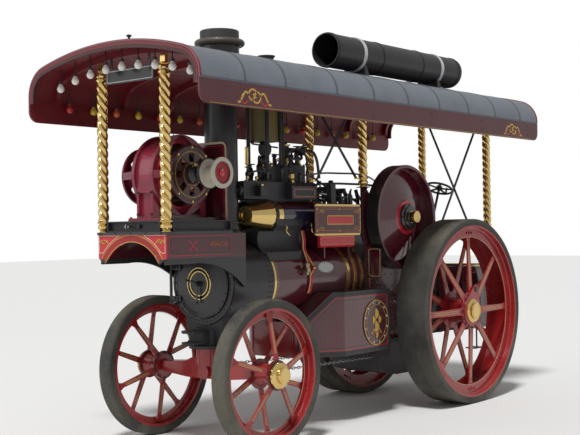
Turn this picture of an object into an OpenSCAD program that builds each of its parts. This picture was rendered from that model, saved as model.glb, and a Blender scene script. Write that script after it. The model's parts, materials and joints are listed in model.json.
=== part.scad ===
// Showman's steam road locomotive: canopied steam traction engine with a front dynamo.
// Millimetres. Origin on the ground under the middle of the canopy. Front faces -Y, near side is +X.

/* [Layout] */
// Distance between the front and rear axles
wheelbase = 3455; // [3200:5:3800]
// Length of the canopy, which is the whole length of the engine
canopy_length = 6030; // [5800:10:6400]
// How far the canopy reaches ahead of the front axle
canopy_front_reach = 1255; // [1150:5:1350]
// Height of the boiler's centre line above the ground
boiler_z = 1534; // [1500:1:1560]

/* [Rear wheels] */
// Outer diameter over the rubber
rear_wheel_d = 2133; // [2050:1:2180]
// Width of the tread
rear_tyre_w = 400; // [340:5:400]
// Thickness of the rubber
rear_tyre_t = 73; // [50:1:90]
// Distance from the centre line to the outer face of the wheel
rear_face_x = 966; // [966:1:1000]
// Number of spokes, half in each row
rear_spokes = 16; // [12:2:20]
// Radial depth of the rim's flange
rear_flange_depth = 140; // [100:5:160]
// Diameter of the brass cap over the hub
rear_cap_d = 276; // [240:2:290]

/* [Front wheels] */
// Outer diameter over the rubber
front_wheel_d = 1397; // [1340:1:1420]
// Width of the tread
front_tyre_w = 160; // [130:5:170]
// Thickness of the rubber
front_tyre_t = 80; // [50:1:90]
// Distance from the centre line to the outer face of the wheel
front_face_x = 828; // [820:1:880]
// Number of spokes, half in each row
front_spokes = 10; // [8:2:14]
// Radial depth of the rim's flange
front_flange_depth = 88; // [60:2:100]
// Diameter of the brass cap over the hub
front_cap_d = 252; // [220:2:260]

/* [Boiler] */
// Diameter of the lagged barrel
barrel_d = 720; // [700:2:740]
// Diameter of the smokebox
smokebox_d = 800; // [780:2:810]
// Length of the smokebox
smokebox_l = 614; // [580:1:640]
// How far the smokebox front stands ahead of the front axle
smokebox_reach = 86; // [60:1:110]
// Diameter of the smokebox door
door_d = 690; // [640:2:700]
// Length of the firebox
firebox_l = 1110; // [1050:5:1150]
// Width of the firebox
firebox_w = 720; // [700:5:730]
// Number of brass bands round the barrel
band_count = 4; // [3:1:6]

/* [Chimney] */
// Diameter of the stack under the roof
stack_d = 328; // [300:2:350]
// Diameter of the stack above the roof
cap_d = 388; // [370:2:400]
// Height of the chimney's top above the ground
chimney_top_z = 4016; // [3960:1:4060]
// Height of the ring round the top
chimney_ring_z = 3892; // [3860:1:3920]

/* [Engine] */
// Height of the crankshaft
crank_z = 2163; // [2140:1:2180]
// How far the crankshaft stands ahead of the rear axle
crank_ahead = 763; // [740:1:790]
// Distance of each cylinder from the centre line
cylinder_x = 155; // [152:1:160]
// Height of the cylinders' centre line
cylinder_z = 2190; // [2185:1:2200]
// Throw of the cranks
crank_throw = 120; // [100:1:130]
// Diameter of the flywheel
flywheel_d = 1180; // [1100:5:1200]
// Width of the flywheel's rim
flywheel_w = 165; // [150:5:165]
// Distance from the centre line to the flywheel's outer face
flywheel_face_x = 555; // [550:1:558]
// Distance from the centre line to the end of the crankshaft
crank_end_x = 682; // [660:1:700]
// Height of the side plates over the motion
motion_plate_h = 330; // [300:5:340]
// Length of the side plates over the motion
motion_plate_l = 800; // [760:5:820]

/* [Canopy] */
// Half the width of the canopy
canopy_half_w = 1130; // [1100:5:1150]
// Height of the roof's side edge
roof_edge_z = 3330; // [3300:5:3360]
// Height of the roof's crown
roof_crown_z = 3730; // [3700:5:3760]
// Height of the boards hanging along the sides
valance_h = 230; // [200:5:250]
// Thickness of the roof boards
roof_t = 26; // [20:1:32]
// Radius of the roof's round shoulders
shoulder_r = 280; // [240:10:300]
// Number of lamps under the front arch
arch_lamps = 9; // [7:2:9]
// Number of lamps along each side
side_lamps = 18; // [10:2:22]

/* [Columns] */
// Outer diameter of a twisted column
column_d = 104; // [90:1:110]
// Depth of the groove between two strands
column_groove = 13; // [8:1:16]
// Number of strands twisted round each other
column_strands = 3; // [2:1:4]
// Height in which one strand makes a full turn
column_pitch = 250; // [200:10:400]

/* [Belly tank] */
// Half the width of the tank
tank_half_w = 620; // [600:5:630]
// Half the width of the tank's flat front
tank_front_half_w = 250; // [200:5:260]
// Radius of the tank's two front corners
tank_corner_r = 160; // [120:5:180]
// Length of the tank
tank_l = 1261; // [1200:1:1265]
// Height of the underside
tank_bottom_z = 725; // [715:1:740]
// Height of the top edge
tank_top_z = 1385; // [1360:1:1400]

/* [Dynamo] */
// Height of the dynamo's shaft
dynamo_z = 2560; // [2555:1:2570]
// How far the dynamo's shaft stands ahead of the front axle
dynamo_ahead = 545; // [540:1:555]
// Outer diameter of the magnet ring
yoke_d = 750; // [720:5:760]
// Diameter of the dynamo's end shields
shield_d = 544; // [500:2:560]
// Number of windows in an end shield
shield_windows = 8; // [6:1:10]
// Diameter of the pulley's flanges
pulley_d = 280; // [240:5:290]
// Width of the pulley
pulley_w = 165; // [140:5:170]

/* [Platform] */
// Height of the platform's deck
platform_z = 2040; // [2035:1:2045]
// Half the width of the platform
platform_half_w = 446; // [440:1:456]
// How far the platform reaches ahead of the front axle
platform_reach = 1000; // [990:5:1010]

/* [Tender] */
// Half the width of the tender
tender_half_w = 500; // [480:5:520]
// Height of the footplate
footplate_z = 800; // [780:5:820]
// Height of the tender's side plates
tender_top_z = 1560; // [1500:5:1600]

/* [Clearances] */
// Gap between a moving piece and its neighbours
run_gap = 6; // [5:1:10]
// Gap round a pin or shaft in its bore
pin_gap = 1; // [0.5:0.5:2]
// Gap left under a bolted piece that rests on a curved one
seat_gap = 0.5; // [0.2:0.1:1]

/* [Hidden] */
$fn = 96;
ya = -canopy_length / 2 + canopy_front_reach;
yr = ya + wheelbase;
yk = yr - crank_ahead;
rear_r = rear_wheel_d / 2;
front_r = front_wheel_d / 2;
front_mid_x = front_face_x - front_tyre_w / 2;
rear_mid_x = rear_face_x - rear_tyre_w / 2;
rear_axle_r = 62;
front_axle_r = 45;
front_hub_l = 129;
rear_hub_l = 161;

smokebox_r = smokebox_d / 2;
smokebox_y0 = ya - smokebox_reach;
smokebox_y1 = smokebox_y0 + smokebox_l;
barrel_r = barrel_d / 2;
firebox_y1 = yr - 255;
firebox_y0 = firebox_y1 - firebox_l;
firebox_z0 = 780;
chimney_y = ya + 207;

cylinder_y0 = ya + 750;
cylinder_y1 = ya + 1365;
saddle_y0 = cylinder_y0 - 290;
saddle_y1 = cylinder_y1 - 250;
cladding_r = 150;
chest_z0 = cylinder_z + 162;
chest_z1 = cylinder_z + 340;
motion_y0 = ya + 1145;
motion_y1 = motion_y0 + motion_plate_l;
motion_z1 = 2302;
motion_z0 = motion_z1 - motion_plate_h;
horn_x = firebox_w / 2;
horn_t = 14;
horn_out = horn_x + horn_t;
shaft_r = 55;
axle_box_r = 108;
crank_pin_r = 45;

tank_y1 = firebox_y0 + 116;
tank_y0 = tank_y1 - tank_l;
tank_bend_y = tank_y0 + 425;

platform_y0 = ya - platform_reach;
platform_y1 = ya - 130;
bed_h = 100;
bed_z = platform_z + bed_h;
dynamo_y = ya - dynamo_ahead;
yoke_x0 = -40;
yoke_x1 = 170;

tender_y0 = yr + 125;
bunker_y0 = yr + 520;
tender_y1 = yr + 1240;

roof_rise = roof_crown_z - roof_edge_z;
shoulder_x = canopy_half_w - shoulder_r;
roof_r = (pow(shoulder_x, 2) + pow(roof_rise, 2) - pow(shoulder_r, 2)) / (2 * (roof_rise - shoulder_r));
roof_zc = roof_crown_z - roof_r;
roof_end = canopy_length / 2;
rib_depth = 60;
arch_depth = 45;
lamp_r = 34;
board_t = 22;
column_sites = [
    // distance from the centre line, place along the engine, foot height, head height
    [414, ya - 962, platform_z, 3540],
    [371, ya + 2086, 2500, 3550],
    [480, yr + 1180, tender_top_z, 3520]
];
column_foot_h = 100;

steer_x = 470;
worm_wheel_r = 80;
winding_r = 70;
winding_y = tank_y1 + worm_wheel_r + 10;
winding_z = 690;
worm_z = winding_z + worm_wheel_r + 20;
chain_r = 12;
chain_x = 440;
steer_a = [steer_x, yk + 73, worm_z];
steer_b = [steer_x, yr + 51, 2505];
hand_wheel_r = 158;

// Point where a line from p touches the circle round c, on the side that s tells
function touch(p, c, r, s) =
    let (v = p - c, a = atan2(v[1], v[0]) + s * acos(r / norm(v)))
    c + r * [cos(a), sin(a)];

module xcyl(x0, x1, r, y = 0, z = 0) {
    translate([x0, y, z])
        rotate([0, 90, 0])
            cylinder(h = x1 - x0, r = r);
}

module ycyl(y0, y1, r, x = 0, z = 0, r2 = -1) {
    translate([x, y0, z])
        rotate([-90, 0, 0])
            cylinder(h = y1 - y0, r1 = r, r2 = r2 < 0 ? r : r2);
}

module zcyl(z0, z1, r, x = 0, y = 0, r2 = -1) {
    translate([x, y, z0])
        cylinder(h = z1 - z0, r1 = r, r2 = r2 < 0 ? r : r2);
}

module block(x0, x1, y0, y1, z0, z1) {
    translate([x0, y0, z0])
        cube([x1 - x0, y1 - y0, z1 - z0]);
}

// Extrudes a (y, z) outline from x0 to x1
module side(x0, x1) {
    translate([x0, 0, 0])
        rotate([90, 0, 90])
            linear_extrude(x1 - x0)
                children();
}

// Extrudes an (x, z) outline from y0 to y1
module across(y0, y1) {
    translate([0, y1, 0])
        rotate([90, 0, 0])
            linear_extrude(y1 - y0)
                children();
}

// Turns a (radius, x) profile round the X axis
module turned_x() {
    rotate([0, 90, 0])
        rotate_extrude()
            children();
}

module bar(p, q, r) {
    v = q - p;
    len = norm(v);
    translate(p)
        rotate([0, acos(v[2] / len), atan2(v[1], v[0])])
            cylinder(h = len, r = r);
}

// Flat bar in a plane across the engine, its broad side facing forward
module flat_bar(p, q, w, t) {
    v = q - p;
    len = norm(v);
    translate(p)
        rotate([0, atan2(v[0], v[2]), 0])
            translate([-w / 2, -t / 2, 0])
                cube([w, t, len]);
}

module both() {
    children();
    mirror([1, 0, 0])
        children();
}

module ring_x(x0, x1, ro, ri) {
    difference() {
        xcyl(x0, x1, ro);
        xcyl(x0 - 1, x1 + 1, ri);
    }
}

module ring_y(y0, y1, ro, ri, z) {
    difference() {
        ycyl(y0, y1, ro, 0, z);
        ycyl(y0 - 1, y1 + 1, ri, 0, z);
    }
}

// Outline of a rectangle with rounded corners
module rounded(x0, x1, y0, y1, r) {
    translate([x0 + r, y0])
        square([x1 - x0 - 2 * r, y1 - y0]);
    translate([x0, y0 + r])
        square([x1 - x0, y1 - y0 - 2 * r]);
    for (x = [x0 + r, x1 - r], y = [y0 + r, y1 - r])
        translate([x, y])
            circle(r = r);
}

// Outline of a plate round two bosses, joined by straight edges
module link(p, r1, q, r2) {
    translate(p)
        circle(r = r1);
    translate(q)
        circle(r = r2);
    web(p, r1, q, r2);
}

// Unit direction at an angle
function heading(a) = [cos(a), sin(a)];

// Angles at which a straight edge touches both circles, on either side
function edge_angles(p, r1, q, r2) =
    let (v = q - p, a = atan2(v[1], v[0]), b = acos((r1 - r2) / norm(v)))
    [a + b, a - b];

// The straight-edged part between the two bosses of a plate
module web(p, r1, q, r2) {
    v = q - p;
    a = atan2(v[1], v[0]);
    b = acos((r1 - r2) / norm(v));
    polygon([for (e = [[p, r1, a + b], [p, r1, a - b], [q, r2, a - b], [q, r2, a + b]])
        e[0] + e[1] * [cos(e[2]), sin(e[2])]]);
}

// Flat spoke from the hub flange at radius a to the rim at radius b, with a spread foot at the rim
module spoke(xa, xb, a, b, w, t) {
    len = norm([b - a, xb - xa]);
    translate([xa, 0, a])
        rotate([0, atan2(xb - xa, b - a), 0])
            translate([-t / 2, 0, 0])
                rotate([90, 0, 90])
                    linear_extrude(t)
                        polygon([[-w / 2, 0], [-w * 0.38, len * 0.84], [-w * 0.95, len],
                            [w * 0.95, len], [w * 0.38, len * 0.84], [w / 2, 0]]);
}

// Rim band with one inward flange at each place in the list
module rim(ro, w, flange, webs) {
    band = 24;
    t = 9;
    ring_x(-w / 2 + 6, w / 2 - 6, ro, ro - band);
    for (x = webs)
        translate([x, 0, 0])
            turned_x()
                polygon([[ro - band + 2, -t - 10], [ro - band - 12, -t], [ro - flange, -t + 2],
                    [ro - flange, t - 2], [ro - band - 12, t], [ro - band + 2, t + 10]]);
}

// Waisted hub with a spoke flange at each end
module hub(r, flange_r, flange_x, l) {
    f = flange_r;
    x = flange_x;
    turned_x()
        polygon([[0, -l], [r, -l], [r, -x - 16], [f, -x - 12], [f, -x + 12], [r, -x + 24],
            [r * 0.86, 0], [r, x - 24], [f, x - 12], [f, x + 12], [r, x + 16], [r, l], [0, l]]);
}

// Spoked wheel round the X axis, its outer face towards +x
module road_wheel(ro, w, flange, webs, foot_x, n, hub_r, flange_r, hub_l, bore, spoke_w) {
    flange_x = hub_l - 26;
    difference() {
        union() {
            rim(ro, w, flange, webs);
            hub(hub_r, flange_r, flange_x, hub_l);
            for (i = [0 : n - 1])
                rotate([i * 360 / n, 0, 0])
                    spoke((i % 2 == 0 ? 1 : -1) * flange_x, (i % 2 == 0 ? 1 : -1) * foot_x,
                        hub_r - 10, ro - flange * 0.4, spoke_w, 16);
        }
        xcyl(-hub_l - 60, hub_l + 60, bore);
    }
}

module tyre(ro, w, t, groove) {
    e = 14;
    g = groove / 2;
    middle = groove > 0 ? [[ro, -g - 3], [ro - g, -g], [ro - g, g], [ro, g + 3]] : [];
    turned_x()
        polygon(concat([[ro - t, -w / 2 + 4], [ro - t * 0.6, -w / 2], [ro - e, -w / 2], [ro, -w / 2 + e]],
            middle, [[ro, w / 2 - e], [ro - e, w / 2], [ro - t * 0.6, w / 2], [ro - t, w / 2 - 4]]));
}

// Domed brass cap with a raised boss
module hub_cap(x0, len, r, boss_r) {
    turned_x()
        polygon([[0, x0], [r, x0], [r, x0 + len * 0.22], [r * 0.93, x0 + len * 0.36],
            [boss_r, x0 + len * 0.5], [boss_r, x0 + len * 0.9], [boss_r * 0.88, x0 + len],
            [0, x0 + len]]);
}

module front_rim() {
    translate([front_mid_x, ya, front_r])
        road_wheel(front_r - front_tyre_t, front_tyre_w, front_flange_depth, [0], 17, front_spokes,
            112, 142, front_hub_l, front_axle_r + pin_gap, 60);
}

module rear_rim() {
    web = rear_tyre_w / 2 - 78;
    x = rear_hub_l - 14;
    translate([rear_mid_x, yr, rear_r])
        difference() {
            union() {
                road_wheel(rear_r - rear_tyre_t, rear_tyre_w, rear_flange_depth, [-web, web], web - 16,
                    rear_spokes, 150, 215, rear_hub_l, rear_axle_r + pin_gap, 84);
                side(x - 1, rear_hub_l)
                    link([0, 0], 180, [90, 245], 52);
                block(x - 40, rear_hub_l + 10, 62, 118, 217, 273);
            }
            xcyl(-rear_hub_l, rear_hub_l + 1, rear_axle_r + pin_gap);
        }
}

module front_tyre() {
    translate([front_mid_x, ya, front_r])
        tyre(front_r, front_tyre_w, front_tyre_t, 0);
}

module rear_tyre() {
    translate([rear_mid_x, yr, rear_r])
        tyre(rear_r, rear_tyre_w, rear_tyre_t, 12);
}

module front_cap() {
    translate([front_mid_x, ya, front_r])
        hub_cap(front_hub_l, 78, front_cap_d / 2, front_cap_d * 0.32);
}

module rear_cap() {
    translate([rear_mid_x, yr, rear_r])
        difference() {
            hub_cap(rear_hub_l, 54, rear_cap_d / 2, rear_cap_d * 0.37);
            xcyl(rear_hub_l - 1, rear_hub_l + 2, rear_axle_r + 4);
        }
}

module front_rim_left() {
    color("firebrick")
        front_rim();
}

module front_rim_right() {
    color("firebrick")
        mirror([1, 0, 0])
            front_rim();
}

module rear_rim_left() {
    color("firebrick")
        rear_rim();
}

module rear_rim_right() {
    color("firebrick")
        mirror([1, 0, 0])
            rear_rim();
}

module front_tyre_left() {
    color("dimgray")
        front_tyre();
}

module front_tyre_right() {
    color("dimgray")
        mirror([1, 0, 0])
            front_tyre();
}

module rear_tyre_left() {
    color("dimgray")
        rear_tyre();
}

module rear_tyre_right() {
    color("dimgray")
        mirror([1, 0, 0])
            rear_tyre();
}

module front_cap_left() {
    color("gold")
        front_cap();
}

module front_cap_right() {
    color("gold")
        mirror([1, 0, 0])
            front_cap();
}

module rear_cap_left() {
    color("gold")
        rear_cap();
}

module rear_cap_right() {
    color("gold")
        mirror([1, 0, 0])
            rear_cap();
}

module boiler_barrel() {
    color("maroon")
        ycyl(smokebox_y1, firebox_y0, barrel_r, 0, boiler_z);
}

// One band behind the smokebox and the rest close together ahead of the firebox
module boiler_bands() {
    w = 40;
    spacing = 125;
    last = firebox_y0 - w - 12;
    color("gold")
        for (y = concat([smokebox_y1 + 30], [for (i = [0 : band_count - 2]) last - i * spacing]))
            ring_y(y, y + w, barrel_r + 6, barrel_r, boiler_z);
}

module smokebox() {
    r = smokebox_r;
    hx = -door_d / 2 - 45;
    hy = smokebox_y0 - run_gap - 34;
    lug = 206;
    color("black") {
        for (z = [boiler_z - lug, boiler_z + lug - 16])
            block(hx - 15, hx + 62, hy - 15, smokebox_y0 + 20, z, z + 16);
        zcyl(boiler_z - lug, boiler_z + lug, 8, hx, hy);
        difference() {
            union() {
                ycyl(smokebox_y0, smokebox_y1, r, 0, boiler_z);
                ycyl(smokebox_y0, smokebox_y0 + 14, r - 4, 0, boiler_z);
                ycyl(smokebox_y0 + 20, smokebox_y0 + 70, r + 6, 0, boiler_z);
                zcyl(boiler_z, boiler_z + r + 30, stack_d / 2 + 70, 0, chimney_y);
            }
            ycyl(smokebox_y0 + 18, smokebox_y1 - 18, r - 16, 0, boiler_z);
            ycyl(smokebox_y0 - 1, smokebox_y0 + 20, door_d / 2 - 25, 0, boiler_z);
            zcyl(boiler_z, boiler_z + r + 40, stack_d / 2 - 14, 0, chimney_y);
        }
    }
}

// Dished door with strap hinges, a blank ring and a dart handle
module smokebox_door() {
    y0 = smokebox_y0 - run_gap;
    r = door_d / 2;
    hx = -r - 45;
    hy = y0 - 34;
    strap_z = 150;
    color("black")
        difference() {
            union() {
                translate([0, y0, boiler_z])
                    rotate([90, 0, 0])
                        rotate_extrude()
                            polygon([[0, 0], [r, 0], [r, 10], [r - 12, 16], [r * 0.8, 27], [r * 0.55, 36],
                                [158, 40], [156, 47], [112, 48], [110, 42], [0, 44]]);
                zcyl(boiler_z - 190, boiler_z + 190, 15, hx, hy);
                for (z = [-strap_z, strap_z])
                    block(hx, -r + 90, hy - 6, y0 - 2, boiler_z + z - 22, boiler_z + z + 22);
                ycyl(y0 - 90, y0 - 40, 26, 0, boiler_z);
                bar([0, y0 - 76, boiler_z], [0, y0 - 76, boiler_z - 180], 9);
                bar([0, y0 - 57, boiler_z], [-150, y0 - 57, boiler_z + 26], 8);
            }
            zcyl(boiler_z - 200, boiler_z + 200, 8 + pin_gap, hx, hy);
        }
}

module chimney() {
    zb = boiler_z + smokebox_r + 30;
    r = stack_d / 2;
    rc = cap_d / 2;
    color("black")
        translate([0, chimney_y, 0])
            difference() {
                union() {
                    rotate_extrude()
                        polygon([[0, zb], [r + 70, zb], [r + 70, zb + 26], [r + 44, zb + 40],
                            [r + 18, zb + 90], [r + 6, zb + 140], [r + 14, zb + 146], [r + 14, zb + 166],
                            [r, zb + 172], [r, roof_crown_z - 60], [rc, roof_crown_z - 60],
                            [rc, chimney_top_z - 8], [rc - 8, chimney_top_z], [0, chimney_top_z]]);
                    translate([0, 0, chimney_ring_z])
                        rotate_extrude()
                            translate([rc + 24, 0])
                                circle(r = 32);
                }
                zcyl(zb - 1, chimney_top_z + 1, r - 14);
                zcyl(chimney_top_z - 60, chimney_top_z + 1, rc - 26);
            }
}

// Saddle with hollowed sides under both cylinders, the valve chests and the pipework on top
module cylinder_block() {
    y = saddle_y1;
    // foot of a round casting: place along the engine, lower end, upper end, radius
    stacks = [[y + 95, chest_z1 + 280, chest_z1 + 396, 34], [y + 380, chest_z1 + 310, chest_z1 + 400, 32],
        [y + 275, chest_z1 - 10, chest_z1 + 350, 20], [y - 245, chest_z1 - 10, chest_z1 + 360, 36],
        [y - 245, chest_z1 - 10, chest_z1 + 90, 62]];
    color("dimgray")
        difference() {
            union() {
                for (k = [[saddle_y0, cylinder_z - cladding_r - 12], [cylinder_y0 - 64, cylinder_z]])
                    across(k[0], saddle_y1)
                        difference() {
                            translate([-300, boiler_z + 180])
                                square([600, k[1] - boiler_z - 180]);
                            for (s = [-1, 1])
                                translate([s * 400, boiler_z + 415])
                                    circle(r = 165);
                        }
                for (s = [-1, 1])
                    ycyl(cylinder_y0 - 64, cylinder_y0 - 30, cladding_r + 10, s * cylinder_x, cylinder_z);
                block(-200, 200, cylinder_y0 - 440, saddle_y1 - 40, chest_z0, chest_z1);
                block(-200, 200, cylinder_y0 - 64, cylinder_y1 - 40, cylinder_z, chest_z0 + 1);
                across(saddle_y1 - 165, cylinder_y1)
                    polygon([[-290, chest_z0], [290, chest_z0], [290, chest_z1 - 40], [250, chest_z1],
                        [-250, chest_z1], [-290, chest_z1 - 40]]);
                for (s = [-1, 1])
                    ycyl(cylinder_y0 - 480, cylinder_y0 - 430, 58, s * 140, chest_z0 + 90);
                block(-110, 110, y - 55, y + 280, chest_z1 - 1, chest_z1 + 190);
                zcyl(chest_z1 + 189, chest_z1 + 292, 105, 0, y + 95, 40);
                ycyl(y + 95, y + 400, 24, 0, chest_z1 + 360);
                for (k = stacks)
                    zcyl(k[1], k[2], k[3], 0, k[0]);
                xcyl(-24, 24, 78, y - 245, chest_z1 + 350);
            }
            ycyl(cylinder_y0 - 600, cylinder_y1 + 400, barrel_r, 0, boiler_z);
            ycyl(smokebox_y1, smokebox_y1 + 71, barrel_r + 6 + seat_gap, 0, boiler_z);
            ycyl(smokebox_y1 - 200, smokebox_y1 + 1, smokebox_r + 8, 0, boiler_z);
            zcyl(chest_z0 - 1, chest_z1 + 1, stack_d / 2 + 12, 0, chimney_y);
            for (s = [-1, 1])
                ycyl(cylinder_y0 - 30, cylinder_y1 + 400, cladding_r, s * cylinder_x, cylinder_z);
        }
}

// Long tapered front covers with a stepped end
module cylinder_covers() {
    y = cylinder_y0 - 64;
    color("gold")
        for (s = [-1, 1])
            translate([s * cylinder_x, y, cylinder_z])
                rotate([90, 0, 0])
                    rotate_extrude()
                        polygon([[0, 0], [150, 0], [150, 16], [146, 22], [98, 296], [90, 304], [60, 304],
                            [60, 292], [0, 292]]);
}

module cylinder_cladding() {
    color("maroon")
        for (s = [-1, 1])
            ycyl(cylinder_y0 - 30, cylinder_y1 + 20, cladding_r, s * cylinder_x, cylinder_z);
}

// Whistle, valve discs and oil cups
module boiler_fittings() {
    y = saddle_y1;
    cup_y = cylinder_y0 + 290;
    color("gold") {
        translate([-60, y - 460, chest_z1])
            rotate_extrude()
                polygon([[0, 0], [20, 0], [20, 10], [9, 14], [9, 180], [26, 186], [26, 196], [20, 198],
                    [20, 356], [14, 366], [0, 370]]);
        for (d = [95, 380])
            zcyl(d == 95 ? chest_z1 + 396 : chest_z1 + 400, d == 95 ? chest_z1 + 414 : chest_z1 + 412,
                d == 95 ? 48 : 40, 0, y + d);
        for (s = [-1, 1])
            translate([s * 215, cup_y, chest_z1])
                rotate_extrude()
                    polygon([[0, 0], [12, 0], [12, 30], [30, 40], [30, 84], [12, 96], [0, 98]]);
    }
}

// Boxed pipe that hangs from the roof over the valve chest, with its outlet on top
module steam_trunk() {
    y = ya + 870;
    x = 110;
    d = 120;
    z0 = chest_z1 + 420;
    outlet_y = y + 45;
    color("saddlebrown")
        difference() {
            union() {
                block(-x, x, y - d, y + d, z0, roof_crown_z + 60);
                zcyl(roof_crown_z + 40, roof_crown_z + 120, 78, 0, outlet_y);
                zcyl(roof_crown_z + 108, roof_crown_z + 120, 92, 0, outlet_y);
                difference() {
                    block(-x - 30, x + 30, y - d - 30, y + d + 30, roof_crown_z - 30, roof_crown_z + 16);
                    ycyl(y - d - 31, y + d + 31, roof_r + seat_gap, 0, roof_zc, $fn = 360);
                }
            }
            block(-x + 12, x - 12, y - d + 12, y + d - 12, z0 - 1, roof_crown_z + 48);
            zcyl(roof_crown_z + 40, roof_crown_z + 121, 62, 0, outlet_y);
        }
}

module motion_plates() {
    x = 420;
    bracket_y = [cylinder_y1 + 52, motion_y1 - 100];
    color("maroon") {
        both() {
            side(x, x + 10)
                rounded(motion_y0, motion_y1, motion_z0, motion_z1, 26);
            for (z = [motion_z0, motion_z1 - 22])
                block(x - 6, x + 16, motion_y0 + 20, motion_y1 - 20, z, z + 22);
            for (y = bracket_y)
                block(329, x + 1, y, y + 20, motion_z0 + 30, motion_z0 + 110);
        }
        for (y = bracket_y)
            difference() {
                block(-330, 330, y, y + 20, boiler_z + 200, motion_z0 + 110);
                ycyl(y - 1, y + 21, barrel_r, 0, boiler_z);
            }
    }
}

// Piston rods, crossheads between guide bars, and connecting rods that end short of the cranks
module motion_rods() {
    y0 = cylinder_y1 + 20;
    stop = yk - norm([crank_throw + 60, 70]) - 2 * run_gap;
    cross = motion_y0 + 400;
    guide_l = cross + 290 - y0;
    color("silver")
        for (s = [-1, 1])
            translate([s * cylinder_x, 0, cylinder_z]) {
                ycyl(y0, y0 + 22, 128);
                ycyl(y0 + 20, y0 + 46, 48);
                ycyl(y0, cross, 22);
                block(-40, 40, cross, cross + 120, -52, 52);
                for (d = [-1, 1])
                    block(-30, 30, y0 + 20, y0 + guide_l, d * 68 - 16, d * 68 + 16);
                bar([0, cross + 90, 0], [0, stop, crank_z + 20 - cylinder_z], 24);
                block(-26, 26, stop - 70, stop, crank_z - cylinder_z - 24, crank_z - cylinder_z + 62);
            }
}

module firebox() {
    z0 = firebox_z0;
    r = horn_x;
    hz = boiler_z - 120;
    wall = 110;
    color("dimgray") {
        for (z = [hz - 116, hz + 100])
            block(-231, -190, firebox_y1, firebox_y1 + run_gap + 34, z, z + 16);
        zcyl(hz - 116, hz + 116, 8, -215, firebox_y1 + run_gap + 18);
        difference() {
            union() {
                block(-r, r, firebox_y0, firebox_y1, z0, boiler_z);
                ycyl(firebox_y0, firebox_y1, r, 0, boiler_z);
            }
            block(-r + wall, r - wall, firebox_y0 + wall, firebox_y1 - wall, z0 - 1, boiler_z + 80);
            ycyl(firebox_y1 - wall - 10, firebox_y1 + 1, 150, 0, hz);
        }
    }
}

module hornplate_outline() {
    difference() {
        union() {
            polygon([[winding_y - 60, 640], [winding_y - 60, 760], [firebox_y0, 760], [firebox_y0, 1860],
                [firebox_y0 - 44, 1960], [firebox_y0 - 44, 2490], [firebox_y0 + 40, 2490],
                [yk - 260, crank_z + 60], [yk - 90, crank_z + 110], [yk + 90, crank_z + 110],
                [yk + 200, crank_z - 60], [firebox_y1 - 100, 1900], [yr + 40, 1620],
                [yr + 125, 1450], [yr + 125, 780], [winding_y + 60, 760], [winding_y + 60, 640]]);
            translate([yk, crank_z])
                circle(r = 150);
        }
        translate([yk, crank_z])
            circle(r = shaft_r + run_gap);
        translate([yr, rear_r])
            circle(r = axle_box_r);
        translate([winding_y, winding_z])
            circle(r = 22 + pin_gap);
    }
}

// Side plates that carry the crankshaft and the rear axle, with a shelf for the middle columns
module hornplates() {
    y = column_sites[1][1];
    z = column_sites[1][2];
    color("maroon")
        both() {
            side(horn_x, horn_out)
                hornplate_outline();
            block(310, 436, y - 44, y + 44, z - 10, z);
            across(y - 8, y + 8)
                polygon([[horn_x - 1, z - 9], [horn_x - 1, z - 130], [horn_x + 2, z - 130], [430, z - 9]]);
            block(horn_out - 1, horn_out + 30, firebox_y0 - 44, firebox_y0 + 40, 2440, 2460);
        }
}

module firehole_door() {
    y0 = firebox_y1 + run_gap;
    z = boiler_z - 120;
    color("black")
        difference() {
            union() {
                translate([0, y0, z])
                    rotate([-90, 0, 0])
                        rotate_extrude()
                            polygon([[0, 0], [170, 0], [170, 10], [160, 15], [60, 22], [0, 22]]);
                for (d = [-75, 75])
                    block(-215, -110, y0 + 2, y0 + 16, z + d - 14, z + d + 14);
                zcyl(z - 100, z + 100, 16, -215, y0 + 18);
                ycyl(y0 + 12, y0 + 50, 8, 110, z);
                zcyl(z - 40, z + 20, 10, 110, y0 + 50);
            }
            zcyl(z - 101, z + 101, 8 + pin_gap, -215, y0 + 18);
        }
}

// Regulator, gauges and water glasses on the back of the boiler, and the reversing lever beside it
module footplate_controls() {
    y = firebox_y1;
    top = boiler_z + 235;
    lever_x = 300;
    color("gold") {
        ycyl(y, y + 40, 66, 150, top - 5);
        ycyl(y, y + 40, 46, -150, top + 5);
        for (x = [-235, 235]) {
            for (z = [boiler_z + 60, boiler_z + 160])
                ycyl(y, y + 52, 15, x, z);
            zcyl(boiler_z + 35, boiler_z + 185, 10, x, y + 34);
        }
        ycyl(y, y + 60, 30, 0, boiler_z + 160);
        across(y + 40, y + 54)
            link([0, boiler_z + 160], 20, [-170, boiler_z + 110], 9);
        zcyl(footplate_z, footplate_z + 30, 34, lever_x, tender_y0 - 40);
        bar([lever_x, tender_y0 - 40, footplate_z + 20], [lever_x, tender_y0 - 16, 1700], 13);
        block(lever_x - 60, lever_x + 60, tender_y0 - 150, tender_y0 - 1, footplate_z - 20, footplate_z);
    }
}

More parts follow.
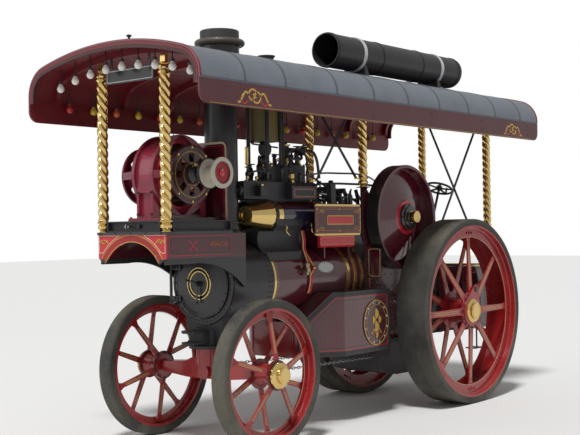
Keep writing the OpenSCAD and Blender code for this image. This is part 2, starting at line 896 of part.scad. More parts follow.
// Split bearings of the crankshaft, and the steering column's bevel box, worm housing and stay
module shaft_bearings() {
    v = steer_b - steer_a;
    u = v / norm(v);
    m = steer_a + 0.42 * v;
    x = steer_x;
    a = steer_a[1];
    color("dimgray") {
        both()
            difference() {
                union() {
                    side(horn_x - 70, horn_x)
                        difference() {
                            union() {
                                translate([yk - 130, crank_z - 110])
                                    square([260, 110]);
                                translate([yk, crank_z])
                                    circle(r = 118);
                            }
                            translate([yk, crank_z])
                                circle(r = shaft_r + pin_gap);
                        }
                    for (d = [-96, 96])
                        zcyl(crank_z - 20, crank_z + 60, 16, horn_x - 35, yk + d);
                    xcyl(horn_out, horn_out + 9, 100, yk, crank_z);
                }
                xcyl(horn_x - 71, horn_out + 10, shaft_r + pin_gap, yk, crank_z);
            }
        side(horn_out, x + 45)
            rounded(a - 52, a + 52, worm_z - 42, worm_z + 42, 20);
        ycyl(winding_y + 40, a - 40, 18, x, worm_z);
        block(x - 40, x + 40, winding_y - 45, winding_y + 45, worm_z - 14, worm_z + 30);
        difference() {
            union() {
                bar(m - 30 * u, m + 30 * u, 30);
                block(horn_out, x - 10, m[1] - 18, m[1] + 18, m[2] - 20, m[2] + 20);
            }
            bar(m - 60 * u, m + 60 * u, 15 + pin_gap);
        }
    }
}

module crankshaft() {
    w = 34;
    pin_w = 90;
    color("silver")
        translate([0, yk, crank_z]) {
            for (s = [-1, 1]) {
                inner = s * cylinder_x - s * pin_w / 2;
                outer = s * cylinder_x + s * pin_w / 2;
                rotate([s > 0 ? 0 : 90, 0, 0]) {
                    xcyl(min(inner, outer), max(inner, outer), crank_pin_r, 0, crank_throw);
                    for (x = [inner - s * w / 2, outer + s * w / 2])
                        side(x - w / 2, x + w / 2)
                            link([0, 0], 84, [0, crank_throw], 66);
                }
            }
            xcyl(-cylinder_x + pin_w / 2 + 1, cylinder_x - pin_w / 2 - 1, shaft_r);
            xcyl(cylinder_x + pin_w / 2 + 1, crank_end_x - 60, shaft_r);
            xcyl(-520, -cylinder_x - pin_w / 2 - 1, shaft_r);
        }
}

// Disc flywheel, dished towards the near side
module flywheel() {
    r = flywheel_d / 2;
    x1 = flywheel_face_x;
    x0 = x1 - flywheel_w;
    e = crank_end_x;
    color("maroon")
        translate([0, yk, crank_z])
            difference() {
                turned_x()
                    polygon([[0, x0 + 12], [150, x0 + 12], [150, x1 - 56], [r - 42, x0 + 22], [r - 42, x0],
                        [r - 6, x0], [r, x0 + 6], [r, x1 - 6], [r - 6, x1], [r - 34, x1], [r - 42, x1 - 10],
                        [r - 42, x0 + 46], [196, x1 - 24], [190, x1 - 12], [150, x1 - 12], [150, x1 + 18],
                        [122, x1 + 26], [122, x1 + 42], [60, x1 + 50], [60, e - 34], [68, e - 34],
                        [68, e - 4], [62, e], [0, e]]);
                xcyl(x0, e - 60, shaft_r);
            }
}

// Outline of the case round the gears on three shafts, moved inwards by t
module case_outline(axle, second, crank, t) {
    low = edge_angles(axle, 455 - t, second, 280 - t);
    high = edge_angles(second, 280 - t, crank, 190 - t);
    bend_out = (low[1] + high[1]) / 2;
    bend_in = (low[0] + high[0]) / 2;
    polygon(concat(
        [for (k = [0:24]) axle + (455 - t) * heading(low[0] + k * (360 + low[1] - low[0]) / 24)],
        [second + (280 - t) / cos(low[1] - bend_out) * heading(bend_out)],
        [for (k = [0:16]) crank + (190 - t) * heading(high[1] + k * (high[0] - high[1]) / 16)],
        [second + (280 - t) / cos(low[0] - bend_in) * heading(bend_in)]));
}

// Case over the gear train on the far side, and a plate ahead of the flywheel
module guards() {
    x1 = -horn_out;
    x0 = -(rear_face_x - rear_tyre_w - 16);
    axle = [yr, rear_r];
    second = [yr - 385, 1700];
    crank = [yk, crank_z];
    top_z = 1830;
    plate_y = yk - sqrt(pow(flywheel_d / 2, 2) - pow(crank_z - top_z, 2)) - 50;
    color("maroon") {
        difference() {
            side(x0, x1)
                case_outline(axle, second, crank, 0);
            side(x0 + 12, x1 + 1)
                case_outline(axle, second, crank, 12);
            xcyl(x0 - 1, x1 + 1, 125, yr, rear_r);
        }
        across(plate_y, plate_y + 12)
            polygon([[horn_out, 1500], [511, 1500], [535, 1510], [545, 1534],
                [545, top_z - 34], [535, top_z - 10], [511, top_z], [horn_out, top_z]]);
    }
}

module oil_boxes() {
    y0 = motion_y0 + 60;
    color("red")
        both()
            across(y0, y0 + 600)
                polygon([[412, motion_z0], [448, motion_z0], [448, 1866], [436, 1850], [412, 1850]]);
}

// Feed pipe bent down the near side of the barrel, with its check valve
module boiler_pipes() {
    r = barrel_r;
    y = saddle_y1 + 20;
    valve_y = y - 90;
    out_x = r + 55;
    color("peru") {
        difference() {
            union() {
                bar([250, y, 1880], [out_x, y, boiler_z + 110], 14);
                translate([out_x, y, boiler_z + 110])
                    sphere(r = 22);
                bar([out_x, y, boiler_z + 110], [r - 30, y, boiler_z - 20], 14);
            }
            ycyl(y - 100, y + 100, r, 0, boiler_z);
            across(saddle_y0, y + 60)
                translate([-264, boiler_z + 180])
                    square([528, 500]);
        }
        difference() {
            union() {
                xcyl(r - 60, r + 58, 26, valve_y, boiler_z + 90);
                zcyl(boiler_z + 40, boiler_z + 150, 20, r + 36, valve_y);
                zcyl(boiler_z + 140, boiler_z + 156, 32, r + 36, valve_y);
            }
            ycyl(valve_y - 100, valve_y + 100, r, 0, boiler_z);
        }
    }
}

// Plan of the tank: straight sides, then tapered to a front with round corners
module tank_plan() {
    c = [tank_front_half_w, tank_y0 + tank_corner_r];
    p = [tank_half_w, tank_bend_y];
    t = touch(p, c, tank_corner_r, -1);
    polygon([[-c[0], tank_y0], [c[0], tank_y0], t, p, [tank_half_w, tank_y1],
        [-tank_half_w, tank_y1], [-p[0], p[1]], [-t[0], t[1]]]);
    for (s = [-1, 1])
        translate([s * c[0], c[1]])
            circle(r = tank_corner_r);
}

// Water tank slung under the barrel, its front top edge cut away in a slope
module belly_tank() {
    color("maroon")
        difference() {
            translate([0, 0, tank_bottom_z])
                linear_extrude(tank_top_z - tank_bottom_z)
                    tank_plan();
            side(-800, 800)
                polygon([[tank_y0 - 10, 1090], [tank_y0 + 40, 1090], [tank_y0 + 330, tank_top_z + 10],
                    [tank_y0 - 10, tank_top_z + 10]]);
            ycyl(tank_y0 - 10, tank_y1 + 10, barrel_r + 6, 0, boiler_z);
            block(-horn_out, horn_out, firebox_y0, tank_y1 + 10, 0, 2000);
        }
}

// Blank oval plates on the tank's sides and on the barrel
module oval_plates() {
    y = tank_y1 - 275;
    plate_y = ya + 1352;
    color("gold") {
        both()
            side(tank_half_w, tank_half_w + 10)
                translate([y, 1032])
                    scale([0.95, 1])
                        circle(r = 245);
        difference() {
            translate([0, plate_y, boiler_z + 115])
                rotate([90, 0, 90])
                    linear_extrude(barrel_r + 4)
                        scale([1, 0.8])
                            circle(r = 105);
            ycyl(plate_y - 200, plate_y + 200, barrel_r, 0, boiler_z);
        }
    }
}

// Hopper under the grate, deeper towards the rear
module ashpan() {
    y0 = winding_y + 95;
    y1 = firebox_y1 - 40;
    z0 = 455;
    z1 = 368;
    mid = y0 + 340;
    t = 12;
    color("black")
        difference() {
            side(-340, 340)
                polygon([[y0, firebox_z0], [y0, z0], [mid, z1], [y1, z1], [y1, firebox_z0]]);
            side(-340 + t, 340 - t)
                polygon([[y0 + t, firebox_z0 + 1], [y0 + t, z0 + t], [mid + t, z1 + t], [y1 - t, z1 + t],
                    [y1 - t, firebox_z0 + 1]]);
        }
}

// Casting under the smokebox that holds the king pin
module perch_bracket() {
    z0 = front_r + 210;
    color("black")
        difference() {
            union() {
                block(-240, 240, smokebox_y0 + 14, ya + 260, boiler_z - 440, boiler_z - 250);
                across(ya - 60, ya + 60)
                    polygon([[-130, z0], [130, z0], [240, boiler_z - 439], [-240, boiler_z - 439]]);
                zcyl(z0, boiler_z - 430, 130, 0, ya);
                zcyl(z0, z0 + 30, 200, 0, ya);
                block(-90, 90, ya - 170, ya, z0 + 50, z0 + 182);
            }
            ycyl(ya - 200, ya + 300, smokebox_r, 0, boiler_z);
            ycyl(smokebox_y0, smokebox_y0 + 70, smokebox_r + 6, 0, boiler_z);
            zcyl(z0 - 1, z0 + 160, 50 + pin_gap, 0, ya);
        }
}

// Jaws for a coupling pin, at the front under the smokebox and at the rear of the tender
module couplings() {
    y = ya - 170;
    z = front_r + 260;
    rear_z = 830;
    jaw = 22;
    color("black") {
        difference() {
            union() {
                for (k = [z, z + 110])
                    translate([0, 0, k])
                        linear_extrude(jaw)
                            union() {
                                translate([-90, y - 100])
                                    square([180, 100]);
                                link([-60, y - 110], 30, [60, y - 110], 30);
                                translate([0, y - 120])
                                    circle(r = 62);
                            }
                block(-90, 90, y - 24, y, z, z + 110 + jaw);
            }
            zcyl(z - 60, z + 140, 21, 0, y - 120);
        }
        difference() {
            union() {
                block(-160, 160, tender_y1, tender_y1 + 16, 790, 1000);
                for (k = [rear_z, rear_z + 100])
                    translate([0, 0, k])
                        linear_extrude(jaw + 4)
                            union() {
                                translate([-56, tender_y1 + 10])
                                    square([112, 28]);
                                translate([0, tender_y1 + 38])
                                    circle(r = 38);
                            }
            }
            zcyl(780, 1000, 21, 0, tender_y1 + 38);
        }
    }
}

// Turning axle: tapered beam, king pin running up into the perch bracket, and a stub at each end
module front_axle() {
    z0 = front_r + 210;
    color("firebrick") {
        across(ya - 70, ya + 70)
            polygon([[-front_mid_x + front_hub_l + 40, front_r - 50], [-240, front_r - 84],
                [240, front_r - 84], [front_mid_x - front_hub_l - 40, front_r - 50],
                [front_mid_x - front_hub_l - 40, front_r + 50], [270, front_r + 70], [180, front_r + 110],
                [-180, front_r + 110], [-270, front_r + 70],
                [-front_mid_x + front_hub_l + 40, front_r + 50]]);
        zcyl(front_r + 40, z0 - run_gap, 130, 0, ya);
        zcyl(z0 - 60, z0 + 140, 50, 0, ya);
        both()
            xcyl(front_mid_x - front_hub_l - 60, front_mid_x + front_hub_l - 8, front_axle_r, ya, front_r);
        ycyl(ya - 100, ya - 60, 70, 0, front_r - 20);
    }
}

module rear_axle() {
    color("silver") {
        xcyl(-rear_mid_x - rear_hub_l + 6, rear_mid_x + rear_hub_l - 6, rear_axle_r, yr, rear_r);
        both()
            difference() {
                xcyl(horn_x - 40, horn_out + 60, axle_box_r, yr, rear_r);
                xcyl(horn_x - 41, horn_out + 61, rear_axle_r - 2, yr, rear_r);
            }
    }
}

// Footplate well, then a coal bunker with round rear corners and a beaded top edge
module tender() {
    t = 12;
    w = horn_out;
    b = tender_half_w;
    z0 = footplate_z - 20;
    c = 110;
    color("maroon")
        difference() {
            union() {
                block(-w, w, tender_y0, bunker_y0 + t, z0, tender_top_z);
                translate([0, 0, z0])
                    linear_extrude(tender_top_z - z0)
                        union() {
                            rounded(-b, b, bunker_y0, tender_y1, c);
                            translate([-b, bunker_y0])
                                square([2 * b, 200]);
                        }
                block(w - 1, w + 24, tender_y0, tender_y0 + 60, z0, tender_top_z);
            }
            block(-w + t, w - t, tender_y0 - 1, bunker_y0, footplate_z, tender_top_z + 1);
            translate([0, 0, 1200])
                linear_extrude(500)
                    difference() {
                        rounded(-b + t, b - t, bunker_y0 + t, tender_y1 - t, c - t);
                        for (s = [-1, 1])
                            translate([s * (b - 50), tender_y1 - 60])
                                circle(r = 75);
                    }
        }
}

// Deck before the chimney: front plate with an arch that follows the smokebox, side boxes and brackets
module dynamo_platform() {
    w = platform_half_w;
    y0 = platform_y0;
    z = platform_z;
    arch_r = smokebox_r + 14;
    bracket_y = smokebox_y0 + 150;
    color("maroon") {
        block(-w - 4, w + 4, y0 - 14, platform_y1, z - 24, z);
        across(y0, y0 + 14)
            difference() {
                polygon([[-w, z - 20], [-w, z - 240], [-w + 94, z - 296], [w - 94, z - 296], [w, z - 240],
                    [w, z - 20]]);
                translate([0, boiler_z])
                    circle(r = arch_r);
            }
        both()
            difference() {
                union() {
                    block(w - 14, w, y0 + 13, platform_y1, z - 240, z - 20);
                    side(w - 40, w - 13)
                        difference() {
                            polygon([[y0 + 13, z - 20], [bracket_y, z - 20], [bracket_y, boiler_z - 30],
                                [y0 + 13, boiler_z - 30]]);
                            translate([y0 + 420, 840])
                                circle(r = 910);
                            translate([y0, 1400])
                                square([520, 345]);
                        }
                    block(smokebox_r - 90, w - 39, smokebox_y0 + 76, bracket_y, boiler_z + 8, boiler_z + 28);
                    block(smokebox_r - 90, w - 39, smokebox_y0 + 76, bracket_y, boiler_z + 180, boiler_z + 200);
                }
                ycyl(smokebox_y0 + 72, smokebox_y1, smokebox_r, 0, boiler_z);
                ycyl(smokebox_y0 - 1, smokebox_y0 + 72, smokebox_r + 7, 0, boiler_z);
            }
    }
}

// Frame of channel iron that the dynamo is bolted to
module dynamo_bed() {
    z = platform_z;
    w = platform_half_w - 16;
    y0 = platform_y0 + 20;
    foot = column_d / 2 + 14;
    gap_x = column_sites[0][0] - foot;
    rear = column_sites[0][1] + foot;
    color("black")
        difference() {
            union() {
                block(-gap_x, gap_x, y0, y0 + 48, z, bed_z);
                block(-w, w, rear, rear + 50, z, bed_z);
                for (s = [-1, 1])
                    block(s * 320 - 25, s * 320 + 25, y0 + 40, rear + 1, z, bed_z);
                both()
                    block(w - 50, w, rear, platform_y1, z, bed_z);
                block(-w, w, platform_y1 - 120, platform_y1 - 70, z, bed_z);
            }
            block(-gap_x + 14, gap_x - 14, y0 - 1, y0 + 36, z + 12, bed_z - 12);
            both()
                block(w - 36, w + 1, rear + 12, platform_y1 - 12, z + 12, bed_z - 12);
        }
}

// Magnet ring with its legs and base, pole pieces inside, and two end shields with their bearings
module dynamo_body() {
    ro = yoke_d / 2;
    rb = ro - 30;
    ri = ro - 84;
    rs = shield_d / 2;
    leg = 84;
    color("maroon")
        translate([0, dynamo_y, dynamo_z])
            difference() {
                union() {
                    // ring, its legs and the four poles
                    side(yoke_x0, yoke_x1)
                        difference() {
                            union() {
                                circle(r = rb);
                                for (s = [-1, 1])
                                    translate([s > 0 ? rb - leg : -rb, bed_z - dynamo_z + 20])
                                        square([leg, dynamo_z - bed_z - 20]);
                            }
                            circle(r = ri);
                        }
                    for (a = [45 : 90 : 315])
                        rotate([a, 0, 0])
                            block(yoke_x0 + 20, yoke_x1 - 20, -62, 62, 198, ri + 8);
                    for (x = [yoke_x0 - 34, yoke_x1 - 1])
                        ring_x(x, x + 35, ro, ri + 14);
                    block(yoke_x0 - 66, yoke_x1 + 142, -rb - 46, rb + 46, bed_z - dynamo_z,
                        bed_z - dynamo_z + 26);
                    // end shields on four arms each
                    for (a = [0 : 90 : 270])
                        rotate([a, 0, 0]) {
                            across(-34, 34)
                                polygon([[yoke_x1 + 30, ri + 16], [yoke_x1 + 30, ro - 6],
                                    [310, rs], [310, rs - 30]]);
                            across(-34, 34)
                                polygon([[yoke_x0 - 30, ri + 16], [yoke_x0 - 30, ro - 6],
                                    [-308, rs], [-308, rs - 30]]);
                        }
                    turned_x()
                        polygon([[0, 316], [rs - 26, 316], [rs - 26, 300], [rs, 300], [rs, 328],
                            [rs - 12, 334], [rs - 30, 334], [rs - 34, 328], [92, 328], [86, 372], [52, 410],
                            [0, 410]]);
                    turned_x()
                        polygon([[0, -410], [66, -410], [66, -340], [96, -330], [rs - 20, -330], [rs, -322],
                            [rs, -300], [rs - 26, -300], [rs - 26, -316], [0, -316]]);
                }
                for (k = [0 : shield_windows - 1])
                    rotate([k * 360 / shield_windows, 0, 0])
                        for (x = [-340, 290])
                            side(x, x + 60)
                                rounded(-31, 31, 118, 196, 14);
                // recess in the front of each leg
                for (s = [-1, 1])
                    block(yoke_x0 + 28, yoke_x1 - 28, s > 0 ? rb - 30 : -rb - 1, s > 0 ? rb + 1 : -rb + 30,
                        bed_z - dynamo_z + 40, -165);
                xcyl(-600, 600, 30 + pin_gap);
            }
}

// Shaft with the core, the commutator and a flanged pulley
module dynamo_armature() {
    r = pulley_d / 2;
    x0 = 715 - pulley_w;
    color("silver")
        translate([0, dynamo_y, dynamo_z]) {
            difference() {
                union() {
                    xcyl(-540, 700, 30);
                    xcyl(-540, -418, 64);
                    xcyl(yoke_x0 + 10, yoke_x1 - 10, 186);
                    xcyl(yoke_x1 + 10, 292, 108);
                    turned_x()
                        polygon([[0, x0 - 18], [r, x0 - 18], [r, x0], [64, x0 + 4], [64, x0 + 70],
                            [78, x0 + 110], [r - 10, 694], [r, 698], [r, 715], [0, 715]]);
                }
                xcyl(700, 716, r - 38);
            }
        }
}

// Upright panel behind the dynamo with round top corners
module dynamo_panel() {
    y = platform_y1 - 16;
    color("maroon")
        across(y, y + 14)
            difference() {
                rounded(-330, 330, platform_z - 60, platform_z + 705, 60);
                translate([-340, platform_z - 70])
                    square([680, 70]);
            }
}

// Blank plate hung from the roof's first rib
module number_plate() {
    y = column_sites[0][1] - 20;
    color("black") {
        across(y - 14, y - 6)
            rounded(-313, 313, 3400, 3530, 12);
        for (s = [-1, 1])
            block(s * 250 - 14, s * 250 + 14, y - 6, y, 3420, 3640);
    }
}

// Part of a ring round c between two directions
module ring_part(c, ro, ri, a0, a1) {
    far = 2 * ro;
    translate(c)
        intersection() {
            difference() {
                circle(r = ro, $fn = 360);
                circle(r = ri, $fn = 360);
            }
            polygon([[0, 0], far * heading(a0), far * heading(a1)]);
        }
}

// Roof section between two depths under its outer surface, down to the height z0
module roof_arc(d0, d1, z0, half_w) {
    lean = atan2(shoulder_x, roof_edge_z - roof_zc);
    intersection() {
        union() {
            ring_part([0, roof_zc], roof_r - d0, roof_r - d1, 90 - lean, 90 + lean);
            ring_part([shoulder_x, roof_edge_z], shoulder_r - d0, shoulder_r - d1, 0, 90 - lean);
            ring_part([-shoulder_x, roof_edge_z], shoulder_r - d0, shoulder_r - d1, 90 + lean, 180);
            for (x = [canopy_half_w - d1, d0 - canopy_half_w])
                translate([x, z0])
                    square([d1 - d0, roof_edge_z - z0]);
        }
        translate([-half_w, z0])
            square([2 * half_w, 600]);
    }
}

module canopy_roof() {
    y = ya + 870;
    color("lightgray")
        difference() {
            across(-roof_end, roof_end)
                roof_arc(0, roof_t, roof_edge_z - 20, canopy_half_w);
            zcyl(3500, 3900, cap_d / 2 + 6, 0, chimney_y);
            block(-116, 116, y - 126, y + 126, 3500, 3900);
        }
}

// Boards along both sides, with a hollow corner at each lower end
module canopy_boards() {
    h = roof_end;
    c = 110;
    z0 = roof_edge_z - valance_h;
    color("maroon")
        both()
            side(canopy_half_w - board_t, canopy_half_w)
                difference() {
                    translate([-h, z0])
                        square([2 * h, valance_h - 20 - 2 * seat_gap]);
                    for (s = [-1, 1])
                        translate([s * h, z0])
                            circle(r = c);
                }
}

// Ribs under the roof, with a deeper arch board at each end
module canopy_ribs() {
    sites = [column_sites[0][1], -1850, -1200, -400, column_sites[1][1], 1200, 2050, column_sites[2][1]];
    top = roof_t + seat_gap;
    w = canopy_half_w - board_t - seat_gap;
    z0 = roof_edge_z - 20;
    color("maroon") {
        for (y = sites)
            across(y - 20, y + 20)
                roof_arc(top, top + rib_depth, z0, w);
        for (y = [-roof_end, roof_end - board_t])
            across(y, y + board_t)
                roof_arc(top, top + arch_depth, z0 - 40, w);
    }
}

module twist(h) {
    n = 3 * column_strands;
    outer = column_d / 2;
    rotate([0, 0, 15])
        linear_extrude(h, twist = 360 * h / column_pitch, slices = ceil(h / column_pitch * 10), $fn = n)
            polygon([for (i = [0 : n - 1])
                let (a = i * 360 / n, r = i % 3 == 0 ? outer : outer - column_groove * 0.75)
                    [r * cos(a), r * sin(a)]]);
}

module columns() {
    color("gold")
        for (c = column_sites)
            for (s = [-1, 1])
                translate([s * c[0], c[1], c[2] + column_foot_h])
                    twist(c[3] - c[2] - 2 * column_foot_h);
}

// Turned foot: neck, ball, collar
module column_foot() {
    r = column_d / 2;
    h = column_foot_h;
    rotate_extrude()
        polygon([[0, 0], [r - 8, 0], [r - 8, 6], [r - 20, 12], [r - 10, 22], [r + 2, 36], [r + 4, 48],
            [r + 2, 60], [r - 10, 74], [r - 12, 80], [r + 6, 84], [r + 6, h], [0, h]]);
}

module column_fittings() {
    color("gold")
        for (c = column_sites)
            for (s = [-1, 1])
                translate([s * c[0], c[1], 0]) {
                    top = roof_zc + sqrt(pow(roof_r - roof_t - rib_depth - seat_gap, 2) - pow(c[0] + 30, 2));
                    translate([0, 0, c[2]])
                        column_foot();
                    translate([0, 0, c[3]])
                        mirror([0, 0, 1])
                            column_foot();
                    block(-30, 30, -19, 19, c[3] - 1, top - seat_gap);
                    if (c[1] > 0)
                        for (z = [c[2] + 84, c[3] - 98])
                            block(min(-s * 100, -s * 40), max(-s * 100, -s * 40), -24, 24, z, z + 14);
                }
}

// Crossed flat stays between the middle columns and between the rear ones
module canopy_stays() {
    t = 8;
    color("black") {
        for (k = [1, 2]) {
            c = column_sites[k];
            x = c[0] - 84;
            z0 = c[2] + 98;
            z1 = c[3] - 98;
            for (s = [-1, 1])
                difference() {
                    flat_bar([s * x, c[1] + s * 5, z0 - 20], [-s * x, c[1] + s * 5, z1 + 20], 28, t);
                    block(-c[0], c[0], c[1] - 40, c[1] + 40, z0 - 60, z0);
                    block(-c[0], c[0], c[1] - 40, c[1] + 40, z1, z1 + 60);
                }
        }
    }
}

module stored_chimney() {
    x = 500;
    y0 = ya + 1275;
    y1 = y0 + 2454;
    z = 3900;
    color("gray")
        difference() {
            union() {
                ycyl(y0, y1, 178, x, z);
                for (y = [y0 + 20, y0 + 830, y0 + 1620, y1 - 60])
                    ycyl(y, y + 30, 184, x, z);
                for (y = [y0 + 500, y1 - 500])
                    across(y, y + 60)
                        polygon([[x - 120, z - 80], [x + 120, z - 80], [x + 170, z - 300], [x - 150, z - 300]]);
            }
            ycyl(y0 - 1, y1 + 1, 166, x, z);
            across(-roof_end, roof_end)
                translate([0, roof_zc])
                    circle(r = roof_r + seat_gap, $fn = 360);
        }
}

// Round bulb that hangs by h on a thin holder
module lamp(h) {
    sphere(r = lamp_r, $fn = 24);
    zcyl(lamp_r - 10, h, 11);
}

// Height of the roof's underside at a distance x from the middle
function under_roof(x) = abs(x) < shoulder_x
    ? roof_zc + sqrt(pow(roof_r - roof_t, 2) - x * x)
    : roof_edge_z + sqrt(pow(shoulder_r - roof_t, 2) - pow(abs(x) - shoulder_x, 2));

module canopy_lamps() {
    drop = 155;
    step = 215;
    x1 = canopy_half_w - board_t - lamp_r - 14;
    z1 = roof_edge_z - 60;
    y1 = roof_end - 438;
    color("ivory") {
        for (i = [0 : arch_lamps - 1]) {
            x = (i - (arch_lamps - 1) / 2) * step;
            translate([x, column_sites[0][1] - 123, under_roof(abs(x) + 11) - drop])
                lamp(drop - seat_gap);
        }
        for (s = [-1, 1], i = [0 : side_lamps - 1])
            translate([s * x1, -y1 + i * 2 * y1 / (side_lamps - 1), z1])
                lamp(under_roof(x1 + 11) - z1 - seat_gap);
    }
}

module steering_shaft() {
    v = steer_b - steer_a;
    u = v / norm(v);
    color("black")
        bar(steer_a + 55 * u, steer_b - 20 * u, 15);
}

module hand_wheel() {
    v = steer_b - steer_a;
    r = hand_wheel_r;
    color("black")
        translate(steer_b)
            rotate([-acos(v[2] / norm(v)), 0, 0]) {
                rotate_extrude()
                    translate([r, 0])
                        circle(r = 13, $fn = 32);
                zcyl(-20, 24, 30);
                for (i = [0 : 4])
                    rotate([0, 0, i * 72 + 18])
                        translate([0, 0, -6])
                            linear_extrude(12)
                                polygon([[20, -15], [r, -9], [r, 9], [20, 15]]);
                zcyl(5, 75, 12, 0, r);
            }
}

// Shaft that winds the steering chains, with the worm wheel at its near end
module steering_barrel() {
    x = horn_x - run_gap;
    color("black") {
        xcyl(-horn_out - 20, steer_x + 28, 22, winding_y, winding_z);
        xcyl(-x, x, winding_r, winding_y, winding_z);
        for (k = [-x, x - 14])
            xcyl(k, k + 14, winding_r + 18, winding_y, winding_z);
        xcyl(steer_x - 28, steer_x + 28, worm_wheel_r, winding_y, winding_z);
    }
}

module steering_chains() {
    z = winding_z - winding_r - chain_r - 0.7;
    color("dimgray")
        both()
            bar([chain_x - 130, winding_y, z], [chain_x, ya + 80, front_r - 30], chain_r);
}

boiler_barrel();
boiler_bands();
smokebox();
smokebox_door();
chimney();
cylinder_block();
cylinder_covers();
cylinder_cladding();
boiler_fittings();
steam_trunk();
motion_plates();
motion_rods();
firebox();
hornplates();
firehole_door();
footplate_controls();
shaft_bearings();
crankshaft();
flywheel();
guards();
oil_boxes();
boiler_pipes();
belly_tank();
oval_plates();
ashpan();
perch_bracket();
couplings();
front_axle();
front_rim_left();
front_tyre_left();
front_cap_left();
front_rim_right();
front_tyre_right();
front_cap_right();
rear_axle();
rear_rim_left();
rear_tyre_left();
rear_cap_left();
rear_rim_right();
rear_tyre_right();
rear_cap_right();
tender();
dynamo_platform();
dynamo_bed();
dynamo_body();
dynamo_armature();
dynamo_panel();
number_plate();
canopy_roof();
canopy_boards();
canopy_ribs();
columns();
column_fittings();
canopy_stays();
stored_chimney();
canopy_lamps();
steering_shaft();
hand_wheel();
steering_barrel();
steering_chains();
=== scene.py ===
import json
from math import acos, atan2, cos, pi, radians, sin, sqrt
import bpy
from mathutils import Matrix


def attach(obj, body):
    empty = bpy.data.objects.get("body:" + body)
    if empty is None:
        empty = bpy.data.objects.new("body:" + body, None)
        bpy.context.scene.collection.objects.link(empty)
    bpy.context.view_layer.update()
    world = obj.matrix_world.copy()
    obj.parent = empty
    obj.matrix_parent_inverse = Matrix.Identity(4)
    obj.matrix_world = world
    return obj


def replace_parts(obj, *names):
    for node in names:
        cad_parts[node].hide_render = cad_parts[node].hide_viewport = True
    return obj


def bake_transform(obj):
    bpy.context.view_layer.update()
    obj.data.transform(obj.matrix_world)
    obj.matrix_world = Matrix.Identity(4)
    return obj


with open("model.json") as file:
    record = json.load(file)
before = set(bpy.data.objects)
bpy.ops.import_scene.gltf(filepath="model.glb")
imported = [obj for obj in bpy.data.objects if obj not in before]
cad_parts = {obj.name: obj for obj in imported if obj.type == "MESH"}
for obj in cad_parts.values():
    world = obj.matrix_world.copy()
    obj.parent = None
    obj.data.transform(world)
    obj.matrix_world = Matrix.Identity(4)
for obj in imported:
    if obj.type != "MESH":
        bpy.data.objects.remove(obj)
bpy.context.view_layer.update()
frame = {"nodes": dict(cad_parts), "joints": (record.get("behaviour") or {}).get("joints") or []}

from types import SimpleNamespace

import bmesh
import bpy
from mathutils import Matrix, Vector

bl_info = {
    "name": "Showman's road locomotive",
    "version": (1, 0, 0),
    "blender": (4, 5, 0),
    "location": "3D View > Sidebar > Engine",
    "description": "Dresses a canopied steam engine's solids with paint, lining, brasswork and fasteners",
    "category": "Object",
}

NODES = frame["nodes"]

# Places along the engine and across it, in metres, as the solids have them. YA, YR and YK are the front
# axle, the rear axle and the crankshaft; the front of the engine faces -Y
YA = -1.76
YR = 1.695
YK = 0.932
FRONT_R = 0.6985
REAR_R = 1.0665
FRONT_X = 0.748
REAR_X = 0.766
BOILER_Z = 1.534
BARREL_R = 0.36
SMOKEBOX_R = 0.4
SMOKEBOX_Y0 = -1.846
SMOKEBOX_Y1 = -1.232
FIREBOX_Y1 = 1.44
CHIMNEY_Y = -1.553
CRANK_Z = 2.163
CYL_X = 0.155
CYL_Z = 2.19
CYL_Y0 = -1.04
CYL_Y1 = -0.375
CHEST_Z = 2.53
CASTING_Z = 2.72
PLATE_X = 0.43
DYNAMO_Y = -2.305
DYNAMO_Z = 2.56
DECK_Z = 2.04
PLATFORM_Y0 = -2.76
PLATFORM_Y1 = -1.89
PLATFORM_W = 0.446
ROOF_R = 3.35042
ROOF_ZC = 0.37958
ROOF_T = 0.026
SHOULDER_R = 0.28
SHOULDER_X = 0.85
ROOF_EDGE_Z = 3.33
ROOF_END = 3.015
CANOPY_W = 1.13
TANK_Y0 = -0.815
TANK_Y1 = 0.446
TANK_W = 0.62
TANK_Z0 = 0.727
TANK_Z1 = 1.383
OVAL_CENTRE = TANK_Y1 - 0.275, 1.032
COLUMN_R = 0.052
HORN_X = 0.374
WINDING_Y = 0.536
WINDING_Z = 0.69

# Directions: the photograph's near side is the engine's left
LEFT, RIGHT, FRONT, BACK, UP = (1, 0, 0), (-1, 0, 0), (0, -1, 0), (0, 1, 0), (0, 0, 1)
# The finishes used most
BLACK, IRON, RED = "satin black", "black iron", "bright red"
GEOMETRY = "NodeSocketGeometry"


# ---------------------------------------------------------------- settings

def colour(name, default, text):
    return bpy.props.FloatVectorProperty(name=name, description=text, default=default, size=3,
                                         min=0.0, max=1.0, subtype="COLOR")


def length(name, default, text, low=0.0, high=5.0):
    return bpy.props.FloatProperty(name=name, description=text, default=default, min=low, max=high,
                                   unit="LENGTH", subtype="DISTANCE")


